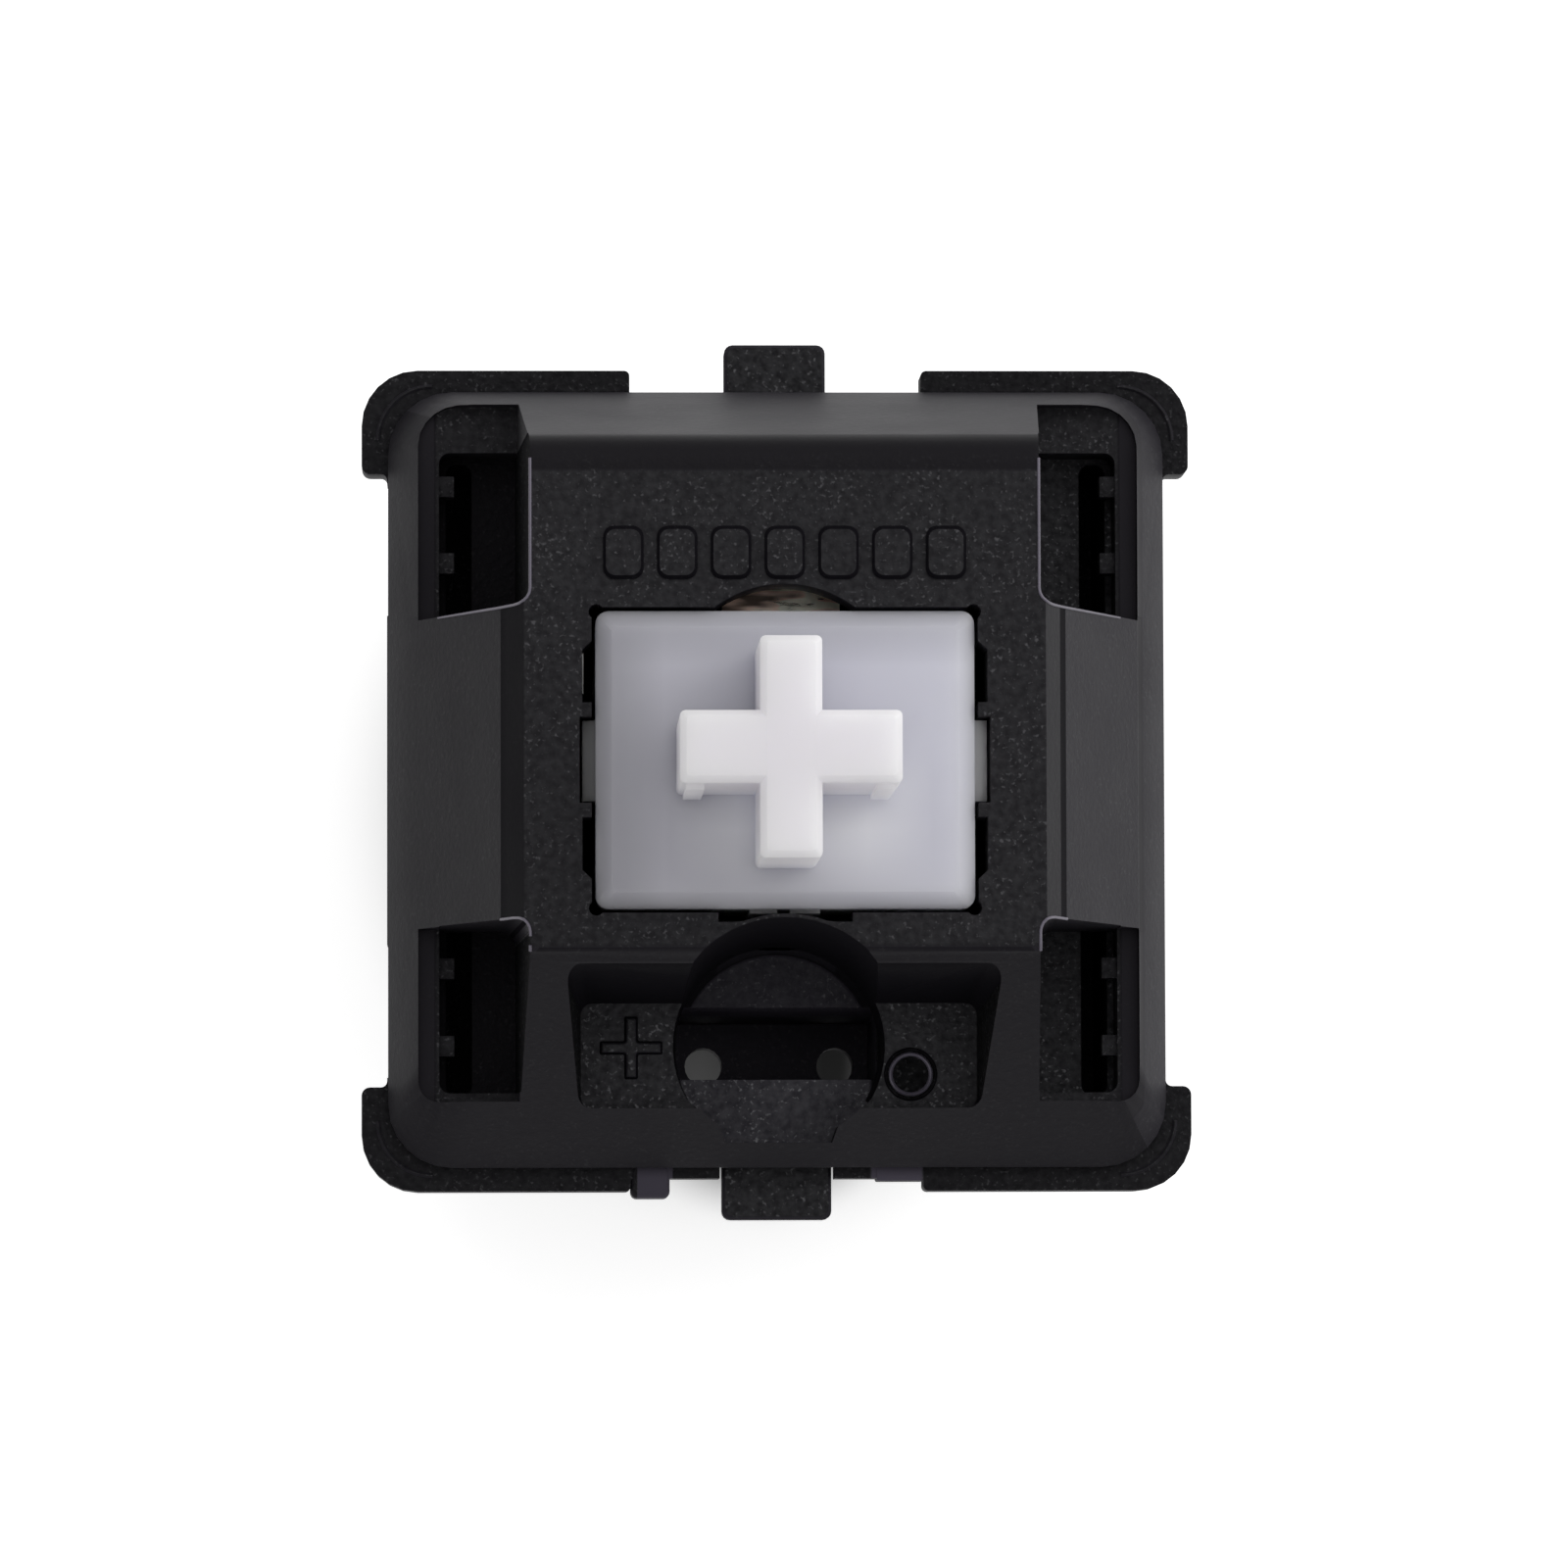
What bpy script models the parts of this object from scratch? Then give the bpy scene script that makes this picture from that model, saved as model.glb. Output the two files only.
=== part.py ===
"""A plate-mount push-button switch for a keyboard, modelled as its real separate pieces.

Lengths below are millimetres, and MM turns them into Blender's metres when a mesh is made.
X points right and Y away from the lamp side, as in the photograph. Z = 0 is the face that sits
on the circuit board, and the stem slides on the Z axis.
"""
import math

import bmesh
import bpy
from mathutils import Vector

MM = 0.001
RUN = 0.05                # running clearance between sliding plastic faces
SEAT = 0.05               # gap left where two separate pieces rest on each other
BITE = 0.08               # how far a joined shape reaches into its neighbour
PAST = 0.40               # how far a cutter runs past the face that it opens
SHY = 0.015               # keeps two cuts or joins off the same plane

# Heights
FLOOR_Z = 1.20
PLATE_Z = 5.00
FLANGE_TOP_Z = 6.00
HOOD_Z = FLANGE_TOP_Z + SEAT
RIM_Z = HOOD_Z + 0.25
HOOD_TOP_Z = 11.60
HOOD_ROOF_Z = 10.35
STEM_TOP_Z = 11.70
CROSS_TOP_Z = 15.20
POST_END_Z = -3.30
TRAVEL = 4.00

# Lower housing
BODY = 6.98
BODY_FOOT = 6.80
FLANGE_X = 7.80
FLANGE_Y = 7.74
EAR_Y = 5.78
EAR_X = 2.75
FLANGE_SIDE = 7.32
FLANGE_N = 7.22
FLANGE_S = 7.50
EAR_R = 1.05
WELL_X = 4.10
WELL_S = -3.20
WELL_N = 5.95
SIDE_POCKET = (5.73, 6.22, 5.95)
SIDE_FLOOR_Z = 1.60
POST_R = 2.00
TUBE_R = 1.94
TUBE_TOP_Z = 5.40
BORE_R = 1.58
BORE_END_Z = -2.30
LUG = (-2.75, -2.02, -7.87)
PAD = (1.87, 2.76, -7.55)

# Plate clips: a springy arm in the north and south wall, its catch, and the finger tab on top
CLIP_X = 0.97
CLIP_SLOT = 0.34
CLIP_FOOT_Z = 1.50
CLIP_S_Y = -6.52
TAB_S_HALF = 1.03
TAB_REACH = 8.27
TAB_Z = (PLATE_Z + 0.06, 5.66)
CATCH_Z = (1.90, 3.10, 3.42)
CATCH_REACH = 7.34

# Lamp seat in the lower housing and its opening in the hood
LAMP_Y = -5.08
LAMP_R = 1.90
LAMP_LEAD_X = 1.27
LEAD_R = 0.36
LEAD_Y = LAMP_Y - 0.13
LAMP_SEAT_Z = 5.20
LAMP_SLOT_Y = (-5.62, -4.40)
LAMP_SLOT_FLOOR_Z = 1.00
LAMP_SEAT_R = LAMP_R - 0.12
LAMP_SEAT_S = -6.86
LAMP_MOUTH_R = LAMP_R + 0.30
LAMP_WEB = 0.06
LAMP_SHOULDER = 30          # degrees below the middle of the round where the funnel starts
LAMP_FUNNEL = ((1.70, -6.09), (1.10, -6.57), (1.00, -6.86))
POCKET_X = (3.70, 4.07)
POCKET_Y = (-6.24, -4.27, -3.60)
POCKET_FLOOR_Z = 7.30

# Upper housing, called the hood here
HOOD = 7.30
HOOD_R = 1.20
HOOD_TOP_X = 4.90
HOOD_TOP_Y = (-3.45, 5.90)
ROUND_N = 0.62
ROUND_S = 0.22
PANEL_Y = 2.87
PANEL_TOP_X = 4.78
PANEL_FOOT = (5.20, 10.60)
PANEL_END_X = 6.88
CORNER_FLOOR_Z = 7.20
CORNER_OUT_X = 6.73
CORNER_N = 6.92
CORNER_S = -6.12
WINDOW_OUT_X = 6.34
WINDOW_N = 6.06
WINDOW_S = -5.94
SIDE_WALL_X = 4.66
SIDE_WALL_LEAN = 0.045
SIDE_WALL_R = 0.28
HOOD_WELL_X = 3.80
HOOD_WELL_S = -2.86
OPENING = (3.54, 2.80)
OPENING_CORNER_R = 0.14
OPENING_POCKET = (3.71, 1.05, 2.02, 2.18)
RELIEF_N = (2.15, 3.23)
RELIEF_S = (1.23, -2.97)
RAIL_SLOT = (3.76, 0.79)
TEETH_Y = (5.44, 4.00, -3.60, -5.05)
TOOTH = (6.06, 0.38, 6.45, 7.05)

# Snap legs of the hood and the wedges that they clip over
LEG_X = (6.50, 6.95)
LEG_Y = (3.20, 5.50)
LEG_FOOT_Z = 3.55
LEG_HOLE = (0.75, 4.10, 5.10)
WEDGE = (0.64, 4.20, 5.00)

# Stem
STEM_X = OPENING[0] - 0.07
STEM_Y = OPENING[1] - 0.07
STEM_R = 0.24
STEM_EDGE = (0.30, 0.18)
STEM_SKIRT_Z = 8.40
CROSS_HALF = 2.00
ARM_X_HALF = 0.655
ARM_Y_HALF = 0.560
CROSS_EDGE = 0.12
RAIL_X = RAIL_SLOT[0] - RUN
RAIL_Y = RAIL_SLOT[1] - RUN
RAIL_Z = (5.80, 11.20)
SLIDER_Y = 1.90
POLE_R = BORE_R - RUN - 0.03
POLE_END_Z = 2.40
SPRING_SEAT_Z = 10.20
LEG_IN_X, LEG_OUT_X = 1.72, 2.48
RAMP_Y = 3.50
RAMP_FOOT_Z = 5.90

# Contacts
SHEET = 0.20
PIN_THICK = 0.30
PIN_WIDE = 0.90
FIXED_PIN = (-3.81, 2.54)
MOVING_PIN = (2.54, 5.08)
FIXED_Y = 3.85
FIXED_HALF = 1.10
TERMINAL_Z = (1.38, 3.60)
LEAF_THICK = 0.12
LEAF_Y = 4.84
LEAF_ROOT_Z = 1.70
LEAF_X = 2.55
LEAF_ARM_IN = 1.66
LEAF_TONGUE = 0.70
BUMP_Z = 7.35
BUMP_Y = RAMP_Y + RUN + LEAF_THICK / 2
POINT_Z = 6.80
POINT_HALF = 0.42
LEAF_TURN = 0.0864        # radians that the leaf turns while the stem goes down by TRAVEL

# Return spring
WIRE_R = 0.11
COIL_R = TUBE_R + 2 * RUN - 0.01 + WIRE_R
SPRING_SEAT_R = COIL_R + WIRE_R + 0.19
COIL_TURNS = 11
COIL_STEPS = 18
WIRE_SIDES = 6


# Shells: each is a pair of points and faces that encloses one volume

def corner_rounded(points, steps=5):
    """The outline of (x, y, radius) corners, with each corner turned into an arc."""
    out = []
    count = len(points)
    for i, (x, y, radius) in enumerate(points):
        if radius <= 0:
            out.append((x, y))
            continue
        here = Vector((x, y))
        before = (Vector(points[i - 1][:2]) - here).normalized()
        after = (Vector(points[(i + 1) % count][:2]) - here).normalized()
        half = math.acos(max(-1, min(1, before.dot(after)))) / 2
        centre = here + (before + after).normalized() * radius / math.sin(half)
        start = here + before * radius / math.tan(half) - centre
        sweep = math.pi - 2 * half
        side = 1 if before.cross(after) < 0 else -1
        for step in range(steps + 1):
            turn = side * sweep * step / steps
            spin = Vector((start.x * math.cos(turn) - start.y * math.sin(turn),
                           start.x * math.sin(turn) + start.y * math.cos(turn)))
            out.append(tuple(centre + spin))
    return out


def rectangle(x0, x1, y0, y1, radius=0.0, steps=5):
    """A rectangle seen from above, run anticlockwise."""
    return corner_rounded(
        [(x0, y0, radius), (x1, y0, radius), (x1, y1, radius), (x0, y1, radius)], steps)


def circle(radius, x=0.0, y=0.0, steps=32):
    """A circle seen from above."""
    return [(x + radius * math.cos(2 * math.pi * i / steps),
             y + radius * math.sin(2 * math.pi * i / steps)) for i in range(steps)]


def loft(*levels):
    """A closed shell through outlines of one length, given as (outline, z) from the bottom up."""
    points = [(x, y, z) for outline, z in levels for x, y in outline]
    count = len(levels[0][0])
    faces = [tuple(reversed(range(count)))]
    for level in range(len(levels) - 1):
        low = level * count
        for i in range(count):
            j = (i + 1) % count
            faces.append((low + i, low + j, low + count + j, low + count + i))
    last = (len(levels) - 1) * count
    faces.append(tuple(range(last, last + count)))
    return points, faces


def box(x0, x1, y0, y1, z0, z1):
    """An upright block."""
    return loft((rectangle(x0, x1, y0, y1), z0), (rectangle(x0, x1, y0, y1), z1))


def along_x(profile, x0, x1):
    """A shell whose (y, z) profile runs from x0 to x1."""
    points, faces = loft((profile, x0), (profile, x1))
    return [(x, y, z) for y, z, x in points], faces


def along_y(profile, y0, y1):
    """A shell whose (x, z) profile runs from y0 to y1."""
    points, faces = loft((profile, y0), (profile, y1))
    return [(x, y, z) for x, z, y in points], faces


def mirrored(shell, axis):
    """The shell on the other side of the plane across this axis, 0 for X and 1 for Y."""
    points, faces = shell
    flipped = [tuple(-c if i == axis else c for i, c in enumerate(p)) for p in points]
    return flipped, [tuple(reversed(face)) for face in faces]


def both_sides(shell, axis=0):
    """The shell and its mirror image."""
    return [shell, mirrored(shell, axis)]


def strip(path, thick):
    """The outline of sheet metal whose middle line follows the path of (y, z) points."""
    sides = ([], [])
    for i, point in enumerate(path):
        here = Vector(point)
        into = (here - Vector(path[i - 1])).normalized() if i else None
        out = (Vector(path[i + 1]) - here).normalized() if i + 1 < len(path) else into
        into = into or out
        normal = Vector((-(into + out).y, (into + out).x)).normalized()
        reach = thick / 2 / max(0.5, normal.dot(Vector((-out.y, out.x))))
        sides[0].append(tuple(here + normal * reach))
        sides[1].append(tuple(here - normal * reach))
    return sides[1] + sides[0][::-1]


# Objects

def build(name, shells, origin=(0, 0, 0)):
    """One mesh object out of shells, with its faces turned outwards."""
    mesh = bpy.data.meshes.new(name)
    shape = bmesh.new()
    for points, faces in shells:
        made = [shape.verts.new([(c - o) * MM for c, o in zip(p, origin)]) for p in points]
        for face in faces:
            shape.faces.new([made[i] for i in face])
    bmesh.ops.recalc_face_normals(shape, faces=shape.faces)
    shape.to_mesh(mesh)
    shape.free()
    made = bpy.data.objects.new(name, mesh)
    made.location = [o * MM for o in origin]
    bpy.context.scene.collection.objects.link(made)
    return made


def combine(target, operation, name, shells):
    """Joins the shells to the target or cuts them from it, with a live Boolean."""
    helper = build(f"{target.name}.{name}", shells)
    helper.hide_render = True
    helper.display_type = "WIRE"
    modifier = target.modifiers.new(name, "BOOLEAN")
    modifier.operation = operation
    modifier.solver = "EXACT"
    modifier.object = helper
    return helper


def cut(target, name, *shells):
    """Takes the shells out of the target."""
    return combine(target, "DIFFERENCE", name, shells)


def join(target, name, *shells):
    """Adds the shells to the target."""
    return combine(target, "UNION", name, shells)


def moulded(name, colour, roughness, subsurface=0.0):
    """A plain plastic."""
    material = bpy.data.materials.new(name)
    material.use_nodes = True
    shader = material.node_tree.nodes["Principled BSDF"]
    shader.inputs["Base Color"].default_value = (*colour, 1)
    shader.inputs["Roughness"].default_value = roughness
    shader.inputs["Subsurface Weight"].default_value = subsurface
    return material


def metal(name, colour, roughness):
    """A bare metal."""
    material = moulded(name, colour, roughness)
    material.node_tree.nodes["Principled BSDF"].inputs["Metallic"].default_value = 1.0
    return material


def finish(part, material, smooth=False):
    """Gives a piece its material, and smooth shading if it is round."""
    part.data.materials.append(material)
    if smooth:
        bpy.ops.object.select_all(action="DESELECT")
        part.select_set(True)
        bpy.context.view_layer.objects.active = part
        bpy.ops.object.shade_smooth()
        part.data.set_sharp_from_angle(angle=math.radians(35))
    return part


# The hood

def slope_reach(z, top_reach, radius):
    """How far a side of the hood is from the middle at this height: a slope that rounds over."""
    rise, run = HOOD_TOP_Z - RIM_Z, HOOD - top_reach
    flat = top_reach - radius * math.tan(math.atan2(rise, run) / 2)
    slope = HOOD - run * (z - RIM_Z) / rise
    drop = HOOD_TOP_Z - z
    if drop >= radius:
        return slope
    return min(slope, flat + math.sqrt(radius ** 2 - (radius - drop) ** 2))


def hood_level(z):
    """The hood's outline at one height of its slopes."""
    side = slope_reach(z, HOOD_TOP_X, ROUND_S)
    south = slope_reach(z, -HOOD_TOP_Y[0], ROUND_S)
    north = slope_reach(z, HOOD_TOP_Y[1], ROUND_N)
    radius = HOOD_R + (0.35 - HOOD_R) * (z - RIM_Z) / (HOOD_TOP_Z - RIM_Z)
    return rectangle(-side, side, -south, north, radius, 6), z


def side_wall_x(z):
    """The wall of the raised middle, beside a corner window."""
    return SIDE_WALL_X + (HOOD_TOP_Z - z) * SIDE_WALL_LEAN


def corner_shells(y_wall, y_far, y_window, teeth):
    """The east corner pocket and the window in its floor, between the panel and y_far."""
    north = 1 if y_far > 0 else -1
    top = HOOD_TOP_Z + PAST

    def pocket(z):
        low, high = sorted((y_wall + north * SHY, y_far))
        radius_n, radius_s = (0.75, 0.0) if north > 0 else (0.0, 0.40)
        inner = side_wall_x(z) + SHY
        fillet = SIDE_WALL_R - SHY
        fillet_n, fillet_s = (0.0, fillet) if north > 0 else (fillet, 0.0)
        return corner_rounded([(inner, low, fillet_s), (CORNER_OUT_X, low, radius_s),
                               (CORNER_OUT_X, high, radius_n), (inner, high, fillet_n)])

    def window(z):
        low, high = sorted((y_wall, y_window))
        radius_n, radius_s = (0.2, 0.0) if north > 0 else (0.0, 0.2)
        inner = side_wall_x(z)
        fillet_n, fillet_s = (0.0, SIDE_WALL_R) if north > 0 else (SIDE_WALL_R, 0.0)
        return corner_rounded([(inner, low, fillet_s), (WINDOW_OUT_X, low, radius_s),
                               (WINDOW_OUT_X, high, radius_n), (inner, high, fillet_n)])

    low_z = HOOD_Z - PAST
    pocket_shell = loft((pocket(CORNER_FLOOR_Z), CORNER_FLOOR_Z), (pocket(top), top))
    window_shell = loft((window(low_z), low_z), (window(top), top))
    return pocket_shell, window_shell


def opening_outline():
    """The stem opening: a rectangle with corner reliefs, side pockets and slots for the rails."""
    half_x, half_y = OPENING
    slot_x, slot_y = RAIL_SLOT
    pocket_x, near_y, far_y, end_y = OPENING_POCKET
    inset = OPENING_CORNER_R * 0.6
    first = -math.acos(inset / OPENING_CORNER_R)
    last = math.pi - math.asin(inset / OPENING_CORNER_R)
    quarter = [(slot_x, slot_y), (half_x, slot_y), (half_x, near_y), (pocket_x, near_y),
               (pocket_x, far_y), (half_x, end_y)]
    for step in range(8):
        turn = first + (last - first) * step / 7
        quarter.append((half_x - inset + OPENING_CORNER_R * math.cos(turn),
                        half_y - inset + OPENING_CORNER_R * math.sin(turn)))
    mirror_x = [(-x, y) for x, y in reversed(quarter)]
    top = quarter + mirror_x
    return top + [(-x, -y) for x, y in top]


def north_relief():
    """The round relief in the middle of the opening's north edge."""
    radius, top = RELIEF_N
    middle = top - radius
    start = math.asin((OPENING[1] - BITE - middle) / radius)
    arc = []
    for step in range(17):
        turn = start + (math.pi - 2 * start) * step / 16
        arc.append((radius * math.cos(turn), middle + radius * math.sin(turn)))
    return arc


def south_relief():
    """The shallow relief in the south edge, which leaves a thin web round the lamp mouth."""
    half, deep = RELIEF_S
    reach = LAMP_MOUTH_R + LAMP_WEB
    arc = [(half, BITE - OPENING[1]), (-half, BITE - OPENING[1])]
    for step in range(17):
        x = half * (step / 8 - 1)
        arc.append((x, max(deep, LAMP_Y + math.sqrt(reach ** 2 - x ** 2))))
    return arc


def lamp_round(radius):
    """The round part of the lamp opening, closed by a chord where the funnel starts."""
    start = math.radians(-LAMP_SHOULDER)
    sweep = math.pi - 2 * start
    return [(radius * math.cos(start + sweep * step / 34),
             LAMP_Y + radius * math.sin(start + sweep * step / 34)) for step in range(35)]


def lamp_funnel():
    """The straight-sided south part of the lamp opening, seen from above."""
    wide, knee, end = LAMP_FUNNEL
    right = [end, knee, wide, (wide[0] - 0.10, wide[1] + 0.14)]
    return [(-x, y) for x, y in reversed(right)] + right


def make_hood():
    """The upper housing: sloped cover, corner windows, stem opening, lamp pocket and snap legs."""
    low = rectangle(-HOOD, HOOD, -HOOD, HOOD, HOOD_R, 6)
    drops = [ROUND_N * (1 - math.cos(math.radians(turn))) for turn in (75, 60, 45, 30, 15, 0)]
    levels = [hood_level(HOOD_TOP_Z - drop) for drop in drops]
    hood = build("upper_housing", [loft((low, HOOD_Z), (low, RIM_Z), *levels)])

    well = HOOD_WELL_X
    cut(hood, "well", loft(
        (rectangle(-well, well, HOOD_WELL_S, 6.15, 0.3), HOOD_Z - PAST),
        (rectangle(-well, well, HOOD_WELL_S, 4.90, 0.3), HOOD_ROOF_Z)))
    hollow = [(5.70, HOOD_Z - PAST), (6.50, HOOD_Z - PAST), (5.45, 9.10)]
    cut(hood, "panel_hollows", *both_sides(along_y(hollow, -2.30, 2.30)))

    pocket_n, window_n = corner_shells(PANEL_Y, CORNER_N, WINDOW_N, TEETH_Y[:2])
    pocket_s, window_s = corner_shells(-PANEL_Y, CORNER_S, WINDOW_S, TEETH_Y[2:])
    cut(hood, "corner_pockets", *both_sides(pocket_n), *both_sides(pocket_s))
    cut(hood, "corner_windows", *both_sides(window_n), *both_sides(window_s))

    top = HOOD_TOP_Z + PAST
    foot_x, foot_z = PANEL_FOOT
    lean = (foot_x - PANEL_TOP_X) / (HOOD_TOP_Z - foot_z)
    end_z = RIM_Z + (HOOD_TOP_Z - RIM_Z) * (HOOD - PANEL_END_X) / (HOOD - HOOD_TOP_X)
    fall = (foot_z - end_z) / (PANEL_END_X - foot_x)
    step = [(foot_x, foot_z), (PANEL_END_X + PAST, end_z - PAST * fall),
            (PANEL_END_X + PAST, top), (PANEL_TOP_X - lean * PAST, top)]
    cut(hood, "panel_steps", *both_sides(along_y(step, -PANEL_Y - BITE, PANEL_Y + BITE)))

    cut(hood, "stem_opening", loft((opening_outline(), HOOD_ROOF_Z - PAST),
                                   (opening_outline(), top)))
    reliefs = [north_relief(), south_relief()]
    cut(hood, "edge_reliefs", *[loft((arc, HOOD_ROOF_Z - PAST), (arc, top)) for arc in reliefs])
    pocket_south, pocket_floor_n, pocket_rim_n = POCKET_Y
    floor_x, rim_x = POCKET_X
    cut(hood, "lamp_pocket", loft(
        (rectangle(-floor_x, floor_x, pocket_south, pocket_floor_n, 0.22), POCKET_FLOOR_Z),
        (rectangle(-rim_x, rim_x, pocket_south - 0.02, pocket_rim_n, 0.30), top)))
    cut(hood, "lamp_funnel", loft((lamp_funnel(), HOOD_Z - PAST), (lamp_funnel(), top)))
    cut(hood, "lamp_hole", loft((lamp_round(LAMP_R), HOOD_Z - PAST),
                                (lamp_round(LAMP_MOUTH_R + 0.02), top)))

    tooth_x, tooth_wide, tooth_low, tooth_high = TOOTH
    teeth = []
    for y in TEETH_Y:
        teeth += both_sides(box(tooth_x, WINDOW_OUT_X + BITE, y - tooth_wide / 2,
                                y + tooth_wide / 2, tooth_low, tooth_high))
    join(hood, "window_teeth", *teeth)

    legs = both_sides(box(*LEG_X, *LEG_Y, LEG_FOOT_Z, RIM_Z + 0.30))
    join(hood, "snap_legs", *legs, *[mirrored(leg, 1) for leg in legs])
    hole_half, hole_low, hole_high = LEG_HOLE
    middle = sum(LEG_Y) / 2
    hole = box(LEG_X[0] - PAST, LEG_X[1] + PAST, middle - hole_half, middle + hole_half,
               hole_low, hole_high)
    holes = both_sides(hole)
    cut(hood, "leg_holes", *holes, *[mirrored(shell, 1) for shell in holes])
    return hood


# The lower housing

def flange_outline():
    """The flange with its four corner ears."""
    halves = []
    for turn, end in ((1, FLANGE_N), (-1, FLANGE_S)):
        ear = [(FLANGE_SIDE, EAR_Y, 0.12), (FLANGE_X, EAR_Y, 0.16),
               (FLANGE_X, FLANGE_Y, EAR_R), (EAR_X, FLANGE_Y, 0.10), (EAR_X, end, 0.06)]
        half = ear + [(-x, y, r) for x, y, r in reversed(ear)]
        halves += [(turn * x, turn * y, r) for x, y, r in half]
    return corner_rounded(halves, 6)


def clip_shells(half):
    """The catch and the finger tab of the north clip, the tab this wide."""
    low, nose, high = CATCH_Z
    root = BODY - BITE * 2
    catch = along_x([(root, low), (CATCH_REACH, nose), (CATCH_REACH, high - 0.08),
                     (root, high)], SHY - CLIP_X, CLIP_X - SHY)
    outline = corner_rounded([(-half, root, 0), (half, root, 0),
                              (half, TAB_REACH, 0.16), (-half, TAB_REACH, 0.16)], 4)
    half -= 0.06
    inner = corner_rounded([(-half, root, 0), (half, root, 0),
                            (half, TAB_REACH - 0.06, 0.16), (-half, TAB_REACH - 0.06, 0.16)], 4)
    tab = loft((outline, TAB_Z[0]), (outline, TAB_Z[1] - 0.06), (inner, TAB_Z[1]))
    return catch, tab


def seat_outline(radius):
    """The lamp seat seen from above: round on the north side, square on the south side."""
    arc = [(radius * math.cos(math.pi * step / 20), LAMP_Y + radius * math.sin(math.pi * step / 20))
           for step in range(21)]
    return arc + [(-radius, LAMP_SEAT_S), (radius, LAMP_SEAT_S)]


def make_base():
    """The lower housing: box with flange, guide tube, centre post, clips and lamp seat."""
    foot = rectangle(-BODY_FOOT, BODY_FOOT, -BODY_FOOT, BODY_FOOT, 0.5)
    knee = rectangle(-BODY_FOOT - 0.1, BODY_FOOT + 0.1, -BODY_FOOT - 0.1, BODY_FOOT + 0.1, 0.6)
    waist = rectangle(-BODY, BODY, -BODY, BODY, 0.6)
    base = build("lower_housing", [loft((foot, 0), (knee, 0.30), (waist, PLATE_Z + BITE))])
    join(base, "flange", loft((flange_outline(), PLATE_Z), (flange_outline(), FLANGE_TOP_Z)))

    top = FLANGE_TOP_Z + PAST
    cut(base, "well", loft((rectangle(-WELL_X, WELL_X, WELL_S, WELL_N, 0.25), FLOOR_Z),
                           (rectangle(-WELL_X, WELL_X, WELL_S, WELL_N, 0.25), top)))
    inner, outer, end = SIDE_POCKET
    pocket = rectangle(inner, outer, -end, end, 0.2)
    cut(base, "side_pockets", *both_sides(loft((pocket, SIDE_FLOOR_Z), (pocket, top))))

    cut(base, "lamp_seat", loft((seat_outline(LAMP_SEAT_R), LAMP_SEAT_Z),
                                (seat_outline(LAMP_SEAT_R + 0.26), top)))
    south, north = LAMP_SLOT_Y
    slot = rectangle(-LAMP_R, LAMP_R, south, north, 0.05)
    mouth = rectangle(-LAMP_R, LAMP_R, south, north + 0.14, 0.05)
    cut(base, "lamp_slot", loft((slot, LAMP_SLOT_FLOOR_Z), (slot, LAMP_SEAT_Z - 0.35),
                                (mouth, LAMP_SEAT_Z), (mouth, top)))

    low, leg_gap = LEG_Y[0] - 0.10, 0.10
    notch = box(LEG_X[0] - leg_gap, FLANGE_X + PAST, low, LEG_Y[1] + 0.10,
                LEG_FOOT_Z - leg_gap, top)
    notches = both_sides(notch)
    cut(base, "leg_notches", *notches, *[mirrored(shell, 1) for shell in notches])
    half, wedge_low, wedge_high = WEDGE
    middle = sum(LEG_Y) / 2
    root = LEG_X[0] - leg_gap - BITE
    wedge = along_y([(root, wedge_low), (LEG_X[1] - 0.10, wedge_low),
                     (LEG_X[1] - 0.10, wedge_low + 0.12), (LEG_X[0], wedge_high),
                     (root, wedge_high)], middle - half, middle + half)
    wedges = both_sides(wedge)
    join(base, "wedges", *wedges, *[mirrored(shell, 1) for shell in wedges])

    slot_out = CLIP_X + CLIP_SLOT
    gap = box(CLIP_X, slot_out, WELL_N - BITE, FLANGE_Y + PAST, CLIP_FOOT_Z, top)
    gap_s = box(CLIP_X, slot_out, -FLANGE_Y - PAST, CLIP_S_Y, CLIP_FOOT_Z, PLATE_Z + 0.02)
    cut(base, "clip_slots", *both_sides(gap), *both_sides(gap_s))
    half_s = TAB_S_HALF + RUN
    for side, half in (("north", slot_out), ("south", half_s)):
        over = box(-half, half, BODY - 0.30, FLANGE_Y + PAST, TAB_Z[1] - SHY, top)
        under = box(-half, half, BODY + 0.004, FLANGE_Y + PAST, PLATE_Z - PAST, TAB_Z[1] + 0.1)
        catch, tab = clip_shells(CLIP_X - SHY if side == "north" else TAB_S_HALF)
        if side == "south":
            over, under, catch, tab = [mirrored(shell, 1) for shell in (over, under, catch, tab)]
        cut(base, f"{side}_clip_head", over)
        cut(base, f"{side}_clip_mouth", under)
        join(base, f"{side}_catch", catch)
        join(base, f"{side}_tab", tab)

    x0, x1, end = LUG
    lug = rectangle(x0, x1, end, SHY - HOOD, 0.12)
    slim = rectangle(x0 + 0.05, x1 - 0.05, end + 0.05, SHY - HOOD, 0.10)
    join(base, "south_lug", loft((lug, PLATE_Z + 0.02), (lug, FLANGE_TOP_Z - 0.05),
                                 (slim, FLANGE_TOP_Z + 0.02)))
    x0, x1, end = PAD
    pad = rectangle(x0, x1, end, SHY - HOOD, 0.04)
    join(base, "south_pad", loft((pad, PLATE_Z + 0.04), (pad, FLANGE_TOP_Z + 0.02)))

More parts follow.
